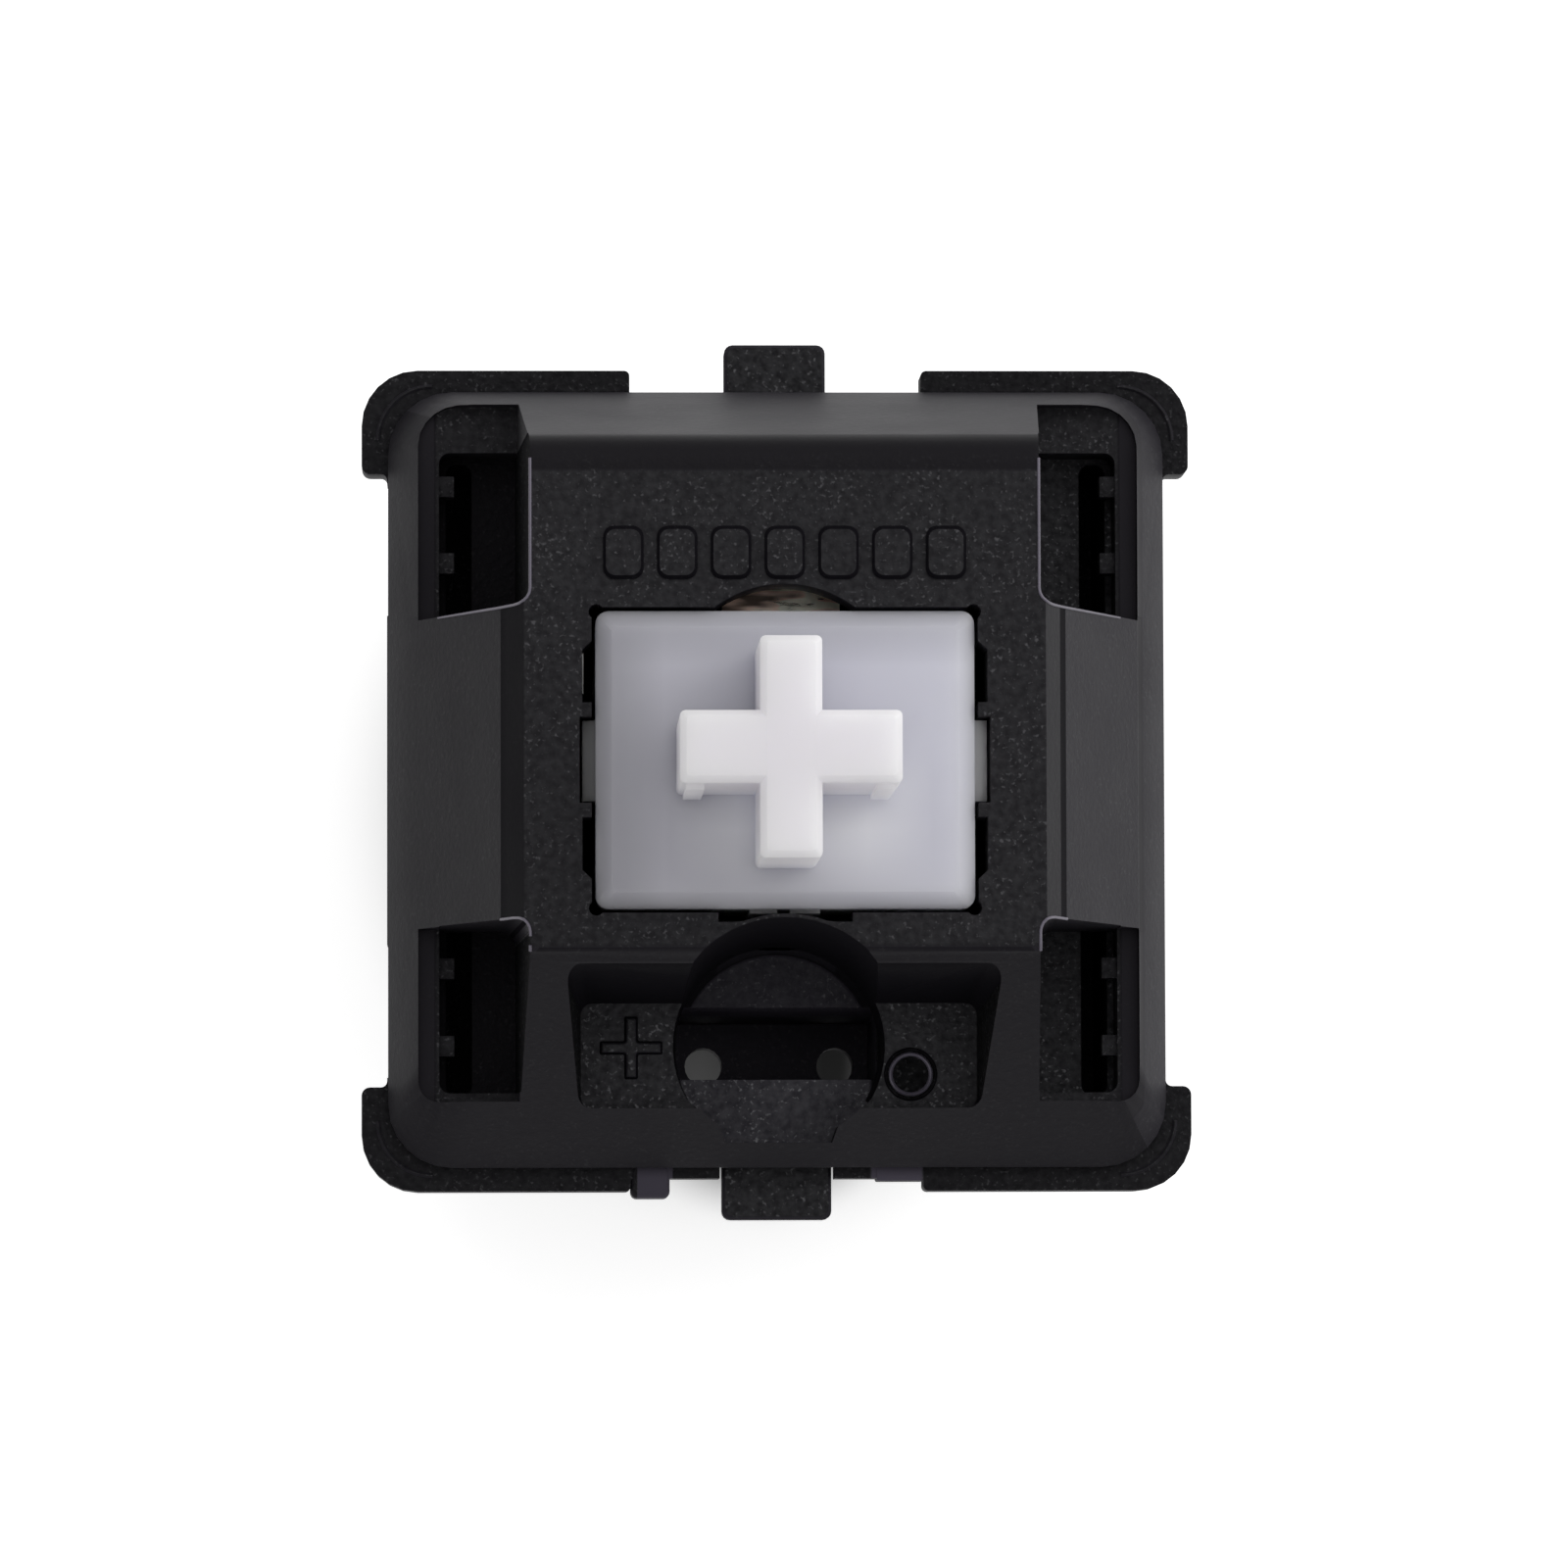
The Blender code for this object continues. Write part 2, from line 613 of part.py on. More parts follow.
    tip = circle(POST_R - 0.35)
    post = circle(POST_R)
    join(base, "centre_post", loft((tip, POST_END_Z), (post, POST_END_Z + 0.5),
                                   (post, FLOOR_Z - 0.3)))
    tube = circle(TUBE_R)
    join(base, "guide_tube", loft((tube, FLOOR_Z - 0.3), (tube, TUBE_TOP_Z - 0.1),
                                  (circle(TUBE_R - 0.1), TUBE_TOP_Z)))
    bore = circle(BORE_R)
    cut(base, "guide_bore", loft((bore, BORE_END_Z), (bore, TUBE_TOP_Z + PAST)))
    leads = [loft((circle(LEAD_R, x, LEAD_Y, 20), -PAST),
                  (circle(LEAD_R, x, LEAD_Y, 20), LAMP_SLOT_FLOOR_Z + PAST))
             for x in (-LAMP_LEAD_X, LAMP_LEAD_X)]
    cut(base, "lead_holes", *leads)
    x, y = FIXED_PIN
    wide, thick = PIN_WIDE / 2 + 0.10, PIN_THICK / 2 + 0.10
    fixed_slot = box(x - thick, x + thick, y - wide, y + wide, -PAST, FLOOR_Z + PAST)
    x, y = MOVING_PIN
    moving_slot = box(x - wide, x + wide, y - thick, y + thick, -PAST, FLOOR_Z + PAST)
    cut(base, "pin_slots", fixed_slot, moving_slot)
    return base


# The stem

def bar(half_x, half_y, low, high, edge):
    """An upright bar with its top edges broken."""
    lower = rectangle(-half_x, half_x, -half_y, half_y, 0.10, 3)
    upper = rectangle(edge - half_x, half_x - edge, edge - half_y, half_y - edge, 0.06, 3)
    return loft((lower, low), (lower, high - edge), (upper, high))


def ramp_y(z):
    """The stem leg's working face: it leans back so that the leaf follows as the stem sinks."""
    fall = (BUMP_Z - LEAF_ROOT_Z) * math.tan(LEAF_TURN) / TRAVEL
    return RAMP_Y - max(0.0, z - BUMP_Z) * fall


def make_stem():
    """The plunger: platform, cap cross, side rails, ramped legs, spring seat and guide pole."""
    block = rectangle(-STEM_X, STEM_X, -STEM_Y, STEM_Y, STEM_R)
    inset, drop = STEM_EDGE
    crown = rectangle(inset - STEM_X, STEM_X - inset, inset - STEM_Y, STEM_Y - inset,
                      STEM_R - 0.12)
    stem = build("stem", [loft((block, STEM_SKIRT_Z), (block, STEM_TOP_Z - drop),
                               (crown, STEM_TOP_Z))])
    low = STEM_TOP_Z - BITE * 2
    join(stem, "arm_x", bar(CROSS_HALF, ARM_X_HALF, low, CROSS_TOP_Z, CROSS_EDGE))
    join(stem, "arm_y", bar(ARM_Y_HALF, CROSS_HALF, low, CROSS_TOP_Z + 0.004, CROSS_EDGE))
    rib = along_x([(-ARM_X_HALF + BITE, low), (-ARM_X_HALF + BITE, 14.80),
                   (-ARM_X_HALF - 0.09, 14.55), (-ARM_X_HALF - 0.09, low)], 1.55, 1.88)
    join(stem, "arm_ribs", *both_sides(rib))

    rail_low, rail_high = RAIL_Z
    rail = along_y([(STEM_X - 0.3, rail_low), (RAIL_X, rail_low + 0.15), (RAIL_X, rail_high),
                    (STEM_X - 0.3, rail_high + 0.2)], -RAIL_Y, RAIL_Y)
    slider = box(STEM_X - 0.52, STEM_X - 0.02, -SLIDER_Y, SLIDER_Y, rail_low, STEM_SKIRT_Z + 0.3)
    join(stem, "sliders", *both_sides(slider))
    join(stem, "rails", *both_sides(rail))

    top = HOOD_ROOF_Z - 2 * SEAT
    leg = along_x([(STEM_Y - 0.5, RAMP_FOOT_Z), (RAMP_Y - 0.25, RAMP_FOOT_Z),
                   (RAMP_Y, RAMP_FOOT_Z + 0.5), (RAMP_Y, BUMP_Z), (ramp_y(top), top),
                   (STEM_Y - 0.5, top)], LEG_IN_X, LEG_OUT_X)
    join(stem, "legs", *both_sides(leg))
    ribs = [box(x0, x1, -STEM_Y - 0.07, -STEM_Y + 0.3, STEM_SKIRT_Z + 0.1, 11.25)
            for x0, x1 in ((-0.65, -0.15), (0.09, 0.64))]
    join(stem, "south_ribs", *ribs)

    seat = circle(SPRING_SEAT_R, steps=40)
    cut(stem, "spring_seat", loft((seat, RAMP_FOOT_Z - PAST), (seat, SPRING_SEAT_Z)))
    pole = circle(POLE_R, steps=28)
    tip = circle(POLE_R - 0.3, steps=28)
    join(stem, "guide_pole", loft((tip, POLE_END_Z), (pole, POLE_END_Z + 0.4),
                                  (pole, SPRING_SEAT_Z + 0.3)))
    return stem


# The contacts

def tapered_pin(half_x, half_y, high):
    """A flat solder pin that narrows at its end."""
    full = rectangle(-half_x, half_x, -half_y, half_y)
    narrow = [(x * 0.45, y * 0.6) for x, y in full]
    return loft((narrow, POST_END_Z), (full, POST_END_Z + 0.6), (full, high))


def moved(shell, x, y):
    """The shell moved across the board."""
    points, faces = shell
    return [(px + x, py + y, pz) for px, py, pz in points], faces


def make_fixed_terminal():
    """The still contact: a pin, a bent strip and the tongue that stands behind the stem."""
    x, y = FIXED_PIN
    low, high = TERMINAL_Z
    thick = PIN_THICK / 2
    near, far = FIXED_Y - SHEET / 2, FIXED_Y + SHEET / 2
    run = [(x - thick, y - PIN_WIDE / 2), (x + thick, y - PIN_WIDE / 2), (x + thick, near),
           (FIXED_HALF, near), (FIXED_HALF, far), (x - thick, far)]
    terminal = build("fixed_terminal", [loft((run, low), (run, high))])
    join(terminal, "pin", moved(tapered_pin(thick, PIN_WIDE / 2 - 0.01, low + 0.4), x, y))
    path = [(FIXED_Y, low + 0.3), (FIXED_Y, 8.35), (FIXED_Y - 0.22, 8.80),
            (FIXED_Y - 0.50, 9.05), (STEM_Y + 0.11, 9.12)]
    join(terminal, "tongue", along_x(strip(path, SHEET - 0.01), 0.01 - FIXED_HALF,
                                     FIXED_HALF - 0.01))
    return terminal


def make_moving_terminal():
    """The pin and plate that carry the leaf."""
    x, y = MOVING_PIN
    low, high = TERMINAL_Z
    thick = PIN_THICK / 2
    plate = rectangle(-LEAF_X + 0.3, x + PIN_WIDE / 2, y - thick, y + thick)
    terminal = build("moving_terminal", [loft((plate, low), (plate, high))])
    join(terminal, "pin", moved(tapered_pin(PIN_WIDE / 2 - 0.01, thick - 0.01, low + 0.4), x, y))
    return terminal


def leaf_hinge():
    """The line that the leaf bends about, across its root."""
    return (0.0, LEAF_Y, LEAF_ROOT_Z)


def make_leaf():
    """The springy contact leaf: a root, a middle tongue and two arms with bumps for the legs."""
    half = LEAF_THICK / 2
    root = box(-LEAF_X, LEAF_X, LEAF_Y - half, LEAF_Y + half, LEAF_ROOT_Z, 3.40)
    leaf = build("contact_leaf", [root])
    thin = half - 0.002
    join(leaf, "tongue", box(-LEAF_TONGUE, LEAF_TONGUE, LEAF_Y - thin, LEAF_Y + thin,
                             3.2, POINT_Z + 0.55))
    path = [(LEAF_Y, 3.20), (LEAF_Y, 5.60), (LEAF_Y - 0.26, 6.25), (BUMP_Y + 0.22, 6.95),
            (BUMP_Y, BUMP_Z), (BUMP_Y + 0.16, BUMP_Z + 0.36), (BUMP_Y + 0.70, BUMP_Z + 0.95)]
    arm = along_x(strip(path, LEAF_THICK - 0.004), LEAF_ARM_IN, LEAF_X - 0.01)
    join(leaf, "arms", *both_sides(arm))
    return leaf


def make_points():
    """The two small contact prisms, set crosswise to each other."""
    gap = 0.01
    back = FIXED_Y + SHEET / 2 + gap
    high = 0.17
    fixed = along_x([(back, POINT_Z - 0.2), (back + high, POINT_Z - 0.05),
                     (back + high, POINT_Z + 0.05), (back, POINT_Z + 0.2)],
                    -POINT_HALF, POINT_HALF)
    front = LEAF_Y - LEAF_THICK / 2 - gap
    profile = [(-0.2, front), (-0.05, front - high), (0.05, front - high), (0.2, front)]
    moving = loft((profile, POINT_Z - POINT_HALF), (profile, POINT_Z + POINT_HALF))
    return build("fixed_crosspoint", [fixed]), build("moving_crosspoint", [moving], leaf_hinge())


# The spring

def make_spring():
    """The coil spring, with a closed turn at each end."""
    low = FLOOR_Z + 0.03 + WIRE_R
    high = SPRING_SEAT_Z - 0.03 - WIRE_R
    closed = WIRE_R * 2 + 0.03
    count = COIL_TURNS * COIL_STEPS
    rings = []
    for i in range(count + 1):
        turns = i / COIL_STEPS
        if turns <= 1:
            z = low + closed * turns
        elif turns >= COIL_TURNS - 1:
            z = high - closed * (COIL_TURNS - turns)
        else:
            share = (turns - 1) / (COIL_TURNS - 2)
            z = low + closed + (high - low - 2 * closed) * share
        turn = 2 * math.pi * turns
        ring = []
        for side in range(WIRE_SIDES):
            lean = 2 * math.pi * side / WIRE_SIDES
            reach = COIL_R + WIRE_R * math.cos(lean)
            ring.append((reach * math.cos(turn), reach * math.sin(turn),
                         z + WIRE_R * math.sin(lean)))
        rings.append(ring)
    points = [p for ring in rings for p in ring]
    faces = [tuple(range(WIRE_SIDES)),
             tuple(reversed(range(count * WIRE_SIDES, (count + 1) * WIRE_SIDES)))]
    for i in range(count):
        for side in range(WIRE_SIDES):
            nxt = (side + 1) % WIRE_SIDES
            a, b = i * WIRE_SIDES, (i + 1) * WIRE_SIDES
            faces.append((a + side, b + side, b + nxt, a + nxt))
    return build("return_spring", [(points, faces)])


def clear_scene():
    """Removes what the startup file holds."""
    for old in list(bpy.data.objects):
        bpy.data.objects.remove(old, do_unlink=True)


def main():
    clear_scene()
    black = moulded("black_housing", (0.016, 0.016, 0.018), 0.52)
    milky = moulded("milky_stem", (0.42, 0.43, 0.47), 0.38, 0.25)
    bronze = metal("bronze_sheet", (0.62, 0.34, 0.20), 0.32)
    tinned = metal("tinned_pin", (0.72, 0.66, 0.52), 0.30)
    gold = metal("gold_point", (0.95, 0.70, 0.30), 0.22)
    steel = metal("spring_wire", (0.62, 0.62, 0.63), 0.28)
    finish(make_hood(), black)
    finish(make_base(), black)
    stem = finish(make_stem(), milky)
    finish(make_fixed_terminal(), bronze)
    finish(make_moving_terminal(), tinned)
    leaf = finish(make_leaf(), bronze)
    fixed, moving = make_points()
    finish(fixed, gold)
    finish(moving, gold)
    finish(make_spring(), steel, smooth=True)
    stem.name = "stem"
    leaf.name = "contact_leaf"


main()
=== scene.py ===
# %% [markdown]
# # A keyboard switch, dressed for its portrait
#
# The CAD model gives every solid its size and place. This lesson loads it, rounds the moulded
# edges, winds the spring, adds the small moulded marks, and makes the plastics and metals.
# Lengths are in metres, so one millimetre is written as MM.

# %% Load the frame
import math

import bmesh
import bpy
from mathutils import Euler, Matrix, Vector


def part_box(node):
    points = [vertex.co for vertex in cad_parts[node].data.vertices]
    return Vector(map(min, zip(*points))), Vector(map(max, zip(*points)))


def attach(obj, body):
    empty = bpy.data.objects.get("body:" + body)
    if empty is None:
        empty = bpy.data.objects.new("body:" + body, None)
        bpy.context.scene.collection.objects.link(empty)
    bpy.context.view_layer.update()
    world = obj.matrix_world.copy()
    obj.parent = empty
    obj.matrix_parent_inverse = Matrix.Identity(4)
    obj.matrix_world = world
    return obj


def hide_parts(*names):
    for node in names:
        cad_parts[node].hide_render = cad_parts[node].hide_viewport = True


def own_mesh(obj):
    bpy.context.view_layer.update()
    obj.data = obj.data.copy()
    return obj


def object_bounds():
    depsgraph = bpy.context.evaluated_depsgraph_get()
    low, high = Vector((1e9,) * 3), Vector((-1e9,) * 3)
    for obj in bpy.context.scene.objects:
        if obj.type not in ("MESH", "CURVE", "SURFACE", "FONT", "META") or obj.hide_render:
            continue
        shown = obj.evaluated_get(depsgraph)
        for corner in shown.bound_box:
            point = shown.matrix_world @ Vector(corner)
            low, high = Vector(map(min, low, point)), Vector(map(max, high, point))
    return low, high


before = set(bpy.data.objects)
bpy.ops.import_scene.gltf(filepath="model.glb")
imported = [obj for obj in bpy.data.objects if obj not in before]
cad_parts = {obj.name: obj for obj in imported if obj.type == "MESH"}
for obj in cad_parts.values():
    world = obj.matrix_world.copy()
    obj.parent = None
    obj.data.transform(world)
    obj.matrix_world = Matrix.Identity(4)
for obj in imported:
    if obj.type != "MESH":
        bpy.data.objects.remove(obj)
cad_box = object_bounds()
MM = 0.001
print("nodes:", ", ".join(sorted(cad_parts)))

# %% [markdown]
# ## The camera
#
# A small part photographed close to straight down still shows a little of its south and west
# sides, because nobody lines a lens up exactly. The place and the two small tilts below were
# worked out from where the flange, the platform and the cross sit in the photograph. A long
# lens keeps the square edges parallel.

# %% Set the camera
CAMERA_PLACE = (-5.79, -12.69, 196.94)
CAMERA_TILT = (3.782, -1.771, -0.159)
LENS_PIXELS = 10373
PHOTO_PIXELS = 1600

lens = bpy.data.cameras.new("long_lens")
lens.sensor_width = 36
lens.lens = LENS_PIXELS / PHOTO_PIXELS * lens.sensor_width
lens.clip_start = 10 * MM
camera = bpy.data.objects.new("camera", lens)
camera.location = [c * MM for c in CAMERA_PLACE]
camera.rotation_euler = Euler([math.radians(a) for a in CAMERA_TILT], "XYZ")
bpy.context.scene.collection.objects.link(camera)
bpy.context.scene.camera = camera
print(f"lens {lens.lens:.0f} mm at {CAMERA_PLACE[2]:.0f} mm")

# %% [markdown]
# ## Studio
#
# In the photograph one side of every deep pocket is dark and the other is lit, and the depth of
# the pocket gives the lamp's direction: high up, a little towards the far right. So the key is a
# soft square panel up there. A smaller panel low on the right lifts the slopes on that side, and
# the world gives an even, weaker fill. The world looks white to the camera, in reflections and
# through clear pieces without adding light, because it asks each ray where it comes from.

# %% Small helpers for node trees


def tree_of(owner):
    """An empty node tree on a material or world."""
    owner.use_nodes = True
    owner.node_tree.nodes.clear()
    return owner.node_tree


def add(tree, kind, settings=None, **inputs):
    """A node with its settings and its inputs, each a value or an output socket."""
    node = tree.nodes.new(kind)
    for name, value in (settings or {}).items():
        setattr(node, name, value)
    for name, value in inputs.items():
        key = int(name[1:]) if name[0] == "i" and name[1:].isdigit() else name.replace("_", " ")
        if isinstance(value, bpy.types.NodeSocket):
            tree.links.new(value, node.inputs[key])
        else:
            node.inputs[key].default_value = value
    return node


def math_node(tree, operation, a, b=0.0, clamp=False):
    """The output of one Math node."""
    return add(tree, "ShaderNodeMath", {"operation": operation, "use_clamp": clamp},
               i0=a, i1=b).outputs[0]


def surface_output(tree, shader):
    """Ends a material with its shader."""
    add(tree, "ShaderNodeOutputMaterial", Surface=shader.outputs[0])


def ramp(tree, value, low, high, to_low=0.0, to_high=1.0):
    """A clamped change of range."""
    return add(tree, "ShaderNodeMapRange", i0=value, i1=low, i2=high, i3=to_low,
               i4=to_high).outputs[0]


def noise(tree, place, scale, detail=2.0, rough=0.5):
    """The strength of a noise at a place."""
    return add(tree, "ShaderNodeTexNoise", Vector=place, Scale=scale, Detail=detail,
               Roughness=rough).outputs[0]


def colour_mix(tree, factor, low, high):
    """A blend of two colours, each a triple or a socket."""
    low, high = [c if isinstance(c, bpy.types.NodeSocket) else (*c, 1) for c in (low, high)]
    return add(tree, "ShaderNodeMix", {"data_type": "RGBA"}, i0=factor, i6=low, i7=high).outputs[2]


def scaled(tree, tone, factor):
    """A colour made lighter or darker."""
    return add(tree, "ShaderNodeVectorMath", {"operation": "SCALE"}, i0=tone,
               Scale=factor).outputs[0]


def seen_white(tree):
    """1 for rays that show the background: from the camera, a mirror or a clear piece."""
    path = add(tree, "ShaderNodeLightPath")
    mirror = math_node(tree, "ADD", path.outputs["Is Camera Ray"], path.outputs["Is Glossy Ray"])
    return math_node(tree, "ADD", mirror, path.outputs["Is Transmission Ray"], clamp=True)


# %% World and lamps
FILL = 0.50

world = bpy.data.worlds.new("studio")
bpy.context.scene.world = world
tree = tree_of(world)
fill = add(tree, "ShaderNodeBackground", Color=(1, 1, 1, 1), Strength=FILL)
white = add(tree, "ShaderNodeBackground", Color=(1, 1, 1, 1), Strength=1.0)
mix = add(tree, "ShaderNodeMixShader", i0=seen_white(tree), i1=fill.outputs[0],
          i2=white.outputs[0])
add(tree, "ShaderNodeOutputWorld", Surface=mix.outputs[0])


def soft_panel(name, place, size, energy):
    """A square area lamp that faces the switch."""
    lamp = bpy.data.lights.new(name, "AREA")
    lamp.size = size
    lamp.energy = energy
    holder = bpy.data.objects.new(name, lamp)
    holder.location = place
    aim = Vector((0, 0, 8 * MM)) - holder.location
    holder.rotation_euler = aim.to_track_quat("-Z", "Y").to_euler()
    bpy.context.scene.collection.objects.link(holder)
    print(f"{name}: {aim.length:.2f} m away, {energy} W")


soft_panel("key_panel", (0.060, 0.125, 0.290), 0.34, 0.385)
soft_panel("side_panel", (0.110, 0.050, 0.060), 0.06, 0.050)

# %% [markdown]
# ## The sheet of paper
#
# The switch stands on white paper. Out in the light the paper is white, and under the switch it
# is in the dark, which shows through the two slots for the lamp's leads. Lit paper alone would
# come out grey, so it also glows for the rays that show it, and it still takes the shadow. The
# glow fades under the switch, as painted shade, and a small patch below the slots has a darker
# tone, darkest on the right, which is painted shade too. Both follow distances on the paper, so
# they stay put in every view.

# %% Floor
FLOOR_HALF = 0.6
FLOOR_GAP = 0.02 * MM     # keeps the paper clear of the pins' tips
FLOOR_GLOW = 0.66         # what the glow adds to the lit paper to make it white
PAPER_TONE = 0.80
SHADE = (4.2, 8.6)        # the glow fades in under the switch between these distances
SHADE_PATCH_Y = -5.0            # the slots show a patch of painted shade on the paper, whose middle is here
SHADE_PATCH = (1.5, 3.3)        # it ends between these distances
UNDER_SHADE = (0.24, 0.05)      # the tone of this painted shade, left and right
UNDER_TURN = 1.2          # the left tone turns into the right one from minus to plus this far


def away_from(tree, place, middle_y, near, far):
    """Rises from 0 to 1 between two distances in millimetres from a place on the Y axis."""
    across = math_node(tree, "SUBTRACT", place[1], middle_y * MM)
    reach = add(tree, "ShaderNodeCombineXYZ", X=place[0], Y=across).outputs[0]
    reach = add(tree, "ShaderNodeVectorMath", {"operation": "LENGTH"}, i0=reach).outputs["Value"]
    return add(tree, "ShaderNodeMapRange", {"interpolation_type": "SMOOTHSTEP"}, i0=reach,
               i1=near * MM, i2=far * MM).outputs[0]


def white_paper():
    """Matt paper that glows where it is seen in the light, with painted shade under the switch."""
    material = bpy.data.materials.new("white_paper")
    tree = tree_of(material)
    coords = add(tree, "ShaderNodeTexCoord").outputs["Object"]
    place = add(tree, "ShaderNodeSeparateXYZ", Vector=coords).outputs
    beside = away_from(tree, place, SHADE_PATCH_Y, *SHADE_PATCH)
    shown = math_node(tree, "MULTIPLY", math_node(tree, "MULTIPLY", seen_white(tree), beside),
                      away_from(tree, place, 0.0, *SHADE))
    # painted shade: below the slots the paper gets a darker tone, darkest on the right
    under = ramp(tree, place[0], -UNDER_TURN * MM, UNDER_TURN * MM, *UNDER_SHADE)
    tone = add(tree, "ShaderNodeMix", {"data_type": "FLOAT"}, i0=beside, i2=under,
               i3=PAPER_TONE).outputs[0]
    tone = add(tree, "ShaderNodeCombineColor", i0=tone, i1=tone, i2=tone).outputs[0]
    matt = add(tree, "ShaderNodeBsdfDiffuse", Color=tone)
    glow = add(tree, "ShaderNodeEmission", Color=(1, 1, 1, 1),
               Strength=math_node(tree, "MULTIPLY", shown, FLOOR_GLOW))
    surface_output(tree, add(tree, "ShaderNodeAddShader", i0=matt.outputs[0],
                             i1=glow.outputs[0]))
    return material


low = cad_box[0][2] - FLOOR_GAP
floor_mesh = bpy.data.meshes.new("floor")
floor_mesh.from_pydata([(x * FLOOR_HALF, y * FLOOR_HALF, low)
                        for x, y in ((-1, -1), (1, -1), (1, 1), (-1, 1))], [], [(0, 1, 2, 3)])
floor_mesh.materials.append(white_paper())
floor = bpy.data.objects.new("floor", floor_mesh)
bpy.context.scene.collection.objects.link(floor)
print(f"floor at {low / MM:.2f} mm")

bpy.context.scene.view_settings.view_transform = "Standard"

# %% [markdown]
# ## Black moulded plastic
#
# The housings are glass-filled nylon from a steel mould. Flat faces come from a spark-eroded
# surface, so they carry a fine grain, and the slopes come from a smoother one, so they are satin.
# One tree does both: the face's own direction picks the finish, a fine noise gives the grain its
# bump, and specks of lighter colour on it are painted glints. A list of zones, each a box in
# millimetres with a gain, a smoothness and a soft border, makes a spot smooth, or lighter as
# painted light or darker as painted shade. The tree is used four times: for the cover, for the
# darker base, which also puts a milder painted shade on some of the cover's slopes, for recesses
# in painted shade, and for hair-thin beads with a painted highlight.

# %% Black plastic
FLAT_TONES = ((0.0040, 0.0040, 0.0043), (0.0210, 0.0210, 0.0222))
SLOPE_TONES = ((0.0075, 0.0068, 0.0090), (0.0125, 0.0113, 0.0150))
SHEEN_TINT = (0.94, 0.88, 1.0, 1.0)
# painted glints: the grain's lighter specks take this colour
GLINT_PAINT_TONE = (0.056, 0.056, 0.059)
GRAIN = (12500, 2.0, 0.5)     # the scale, detail and roughness of the noise for the finest grain,
PITS = (7000, 2.0, 0.5)       # for the pits in it,
SPOTS = (1500, 3.0, 0.6)      # for the spots that have more painted glints,
CLOUD = (420, 3.0, 0.55)      # and for slow changes of tone
GRAIN_DEPTH = 0.040 * MM
UPRIGHT = (0.90, 0.985)       # a face counts as flat as its normal's Z goes from one to the other,
SIDEWAYS = (0.985, 0.990)     # and as an end wall as its normal's X does
GLINT_PAINT_RANGE = (0.585, 0.715)       # the noise turns to painted glints from the one value to the other
SLOPE_ROUGH = (0.46, 0.54)
GRAIN_ROUGH = (0.66, 0.40)    # without and with painted glints


def inside(tree, axes, zone, soft):
    """1 inside a box of (low, high) pairs in millimetres, with a soft border."""
    mask = 1.0
    for value, (low, high) in zip(axes, zone):
        rise = ramp(tree, value, (low - soft) * MM, low * MM)
        fall = ramp(tree, value, high * MM, (high + soft) * MM, 1.0, 0.0)
        mask = math_node(tree, "MULTIPLY", mask, math_node(tree, "MULTIPLY", rise, fall))
    return mask


def black_plastic(name, gloss, gain=1.0, slope_grain=0.22, zones=()):
    """Grain with painted glints on what faces up or down and less on the slopes, and painted light
    or shade zone by zone.
    """
    material = bpy.data.materials.new(name)
    tree = tree_of(material)
    coords = add(tree, "ShaderNodeTexCoord")
    place = coords.outputs["Object"]
    axes = add(tree, "ShaderNodeSeparateXYZ", Vector=place).outputs
    facing = add(tree, "ShaderNodeSeparateXYZ", Vector=coords.outputs["Normal"])
    flat = ramp(tree, math_node(tree, "ABSOLUTE", facing.outputs[2]), *UPRIGHT)
    wall = ramp(tree, math_node(tree, "ABSOLUTE", facing.outputs[0]), *SIDEWAYS)
    grained = math_node(tree, "MAXIMUM", flat, wall)
    grained = ramp(tree, grained, 0.0, 1.0, slope_grain, 1.0)
    # the gain and the zones paint light and shade into the tone
    lighter = gain
    for zone, zone_gain, smooth, soft in zones:
        mask = inside(tree, axes, zone, soft)
        lighter = math_node(tree, "MULTIPLY", lighter, ramp(tree, mask, 0, 1, 1.0, zone_gain))
        grained = math_node(tree, "MULTIPLY", grained, ramp(tree, mask, 0, 1, 1.0, 1 - smooth))

    grain = noise(tree, place, *GRAIN)
    pits = noise(tree, place, *PITS)
    spots = noise(tree, place, *SPOTS)
    cloud = noise(tree, place, *CLOUD)
    relief = math_node(tree, "ADD", math_node(tree, "MULTIPLY", grain, 0.4),
                       math_node(tree, "MULTIPLY", pits, 0.8))
    bump = add(tree, "ShaderNodeBump", Height=math_node(tree, "MULTIPLY", relief, grained),
               Distance=GRAIN_DEPTH, Strength=0.80)

    # painted glints: lighter colour where the grain noise peaks
    painted_glint = ramp(tree, math_node(tree, "MULTIPLY", grain, ramp(tree, spots, 0.3, 0.7, 0.85, 1.08)),
                 *GLINT_PAINT_RANGE)
    painted_glint = math_node(tree, "MULTIPLY", painted_glint, grained)
    shade = math_node(tree, "ADD", math_node(tree, "MULTIPLY", cloud, 0.30),
                      math_node(tree, "MULTIPLY", ramp(tree, pits, 0.32, 0.68), 0.70))
    slope_rough = ramp(tree, cloud, 0.3, 0.7, *SLOPE_ROUGH)
    rough = add(tree, "ShaderNodeMix", {"data_type": "FLOAT"}, i0=grained, i2=slope_rough,
                i3=ramp(tree, painted_glint, 0, 1, *GRAIN_ROUGH)).outputs[0]
    tone = colour_mix(tree, grained, colour_mix(tree, cloud, *SLOPE_TONES),
                      colour_mix(tree, shade, *FLAT_TONES))
    tone = scaled(tree, colour_mix(tree, painted_glint, tone, GLINT_PAINT_TONE), lighter)
    shader = add(tree, "ShaderNodeBsdfPrincipled", Base_Color=tone, Roughness=rough,
                 Normal=bump.outputs[0], IOR=1.50, Specular_IOR_Level=gloss,
                 Specular_Tint=SHEEN_TINT)
    surface_output(tree, shader)
    return material


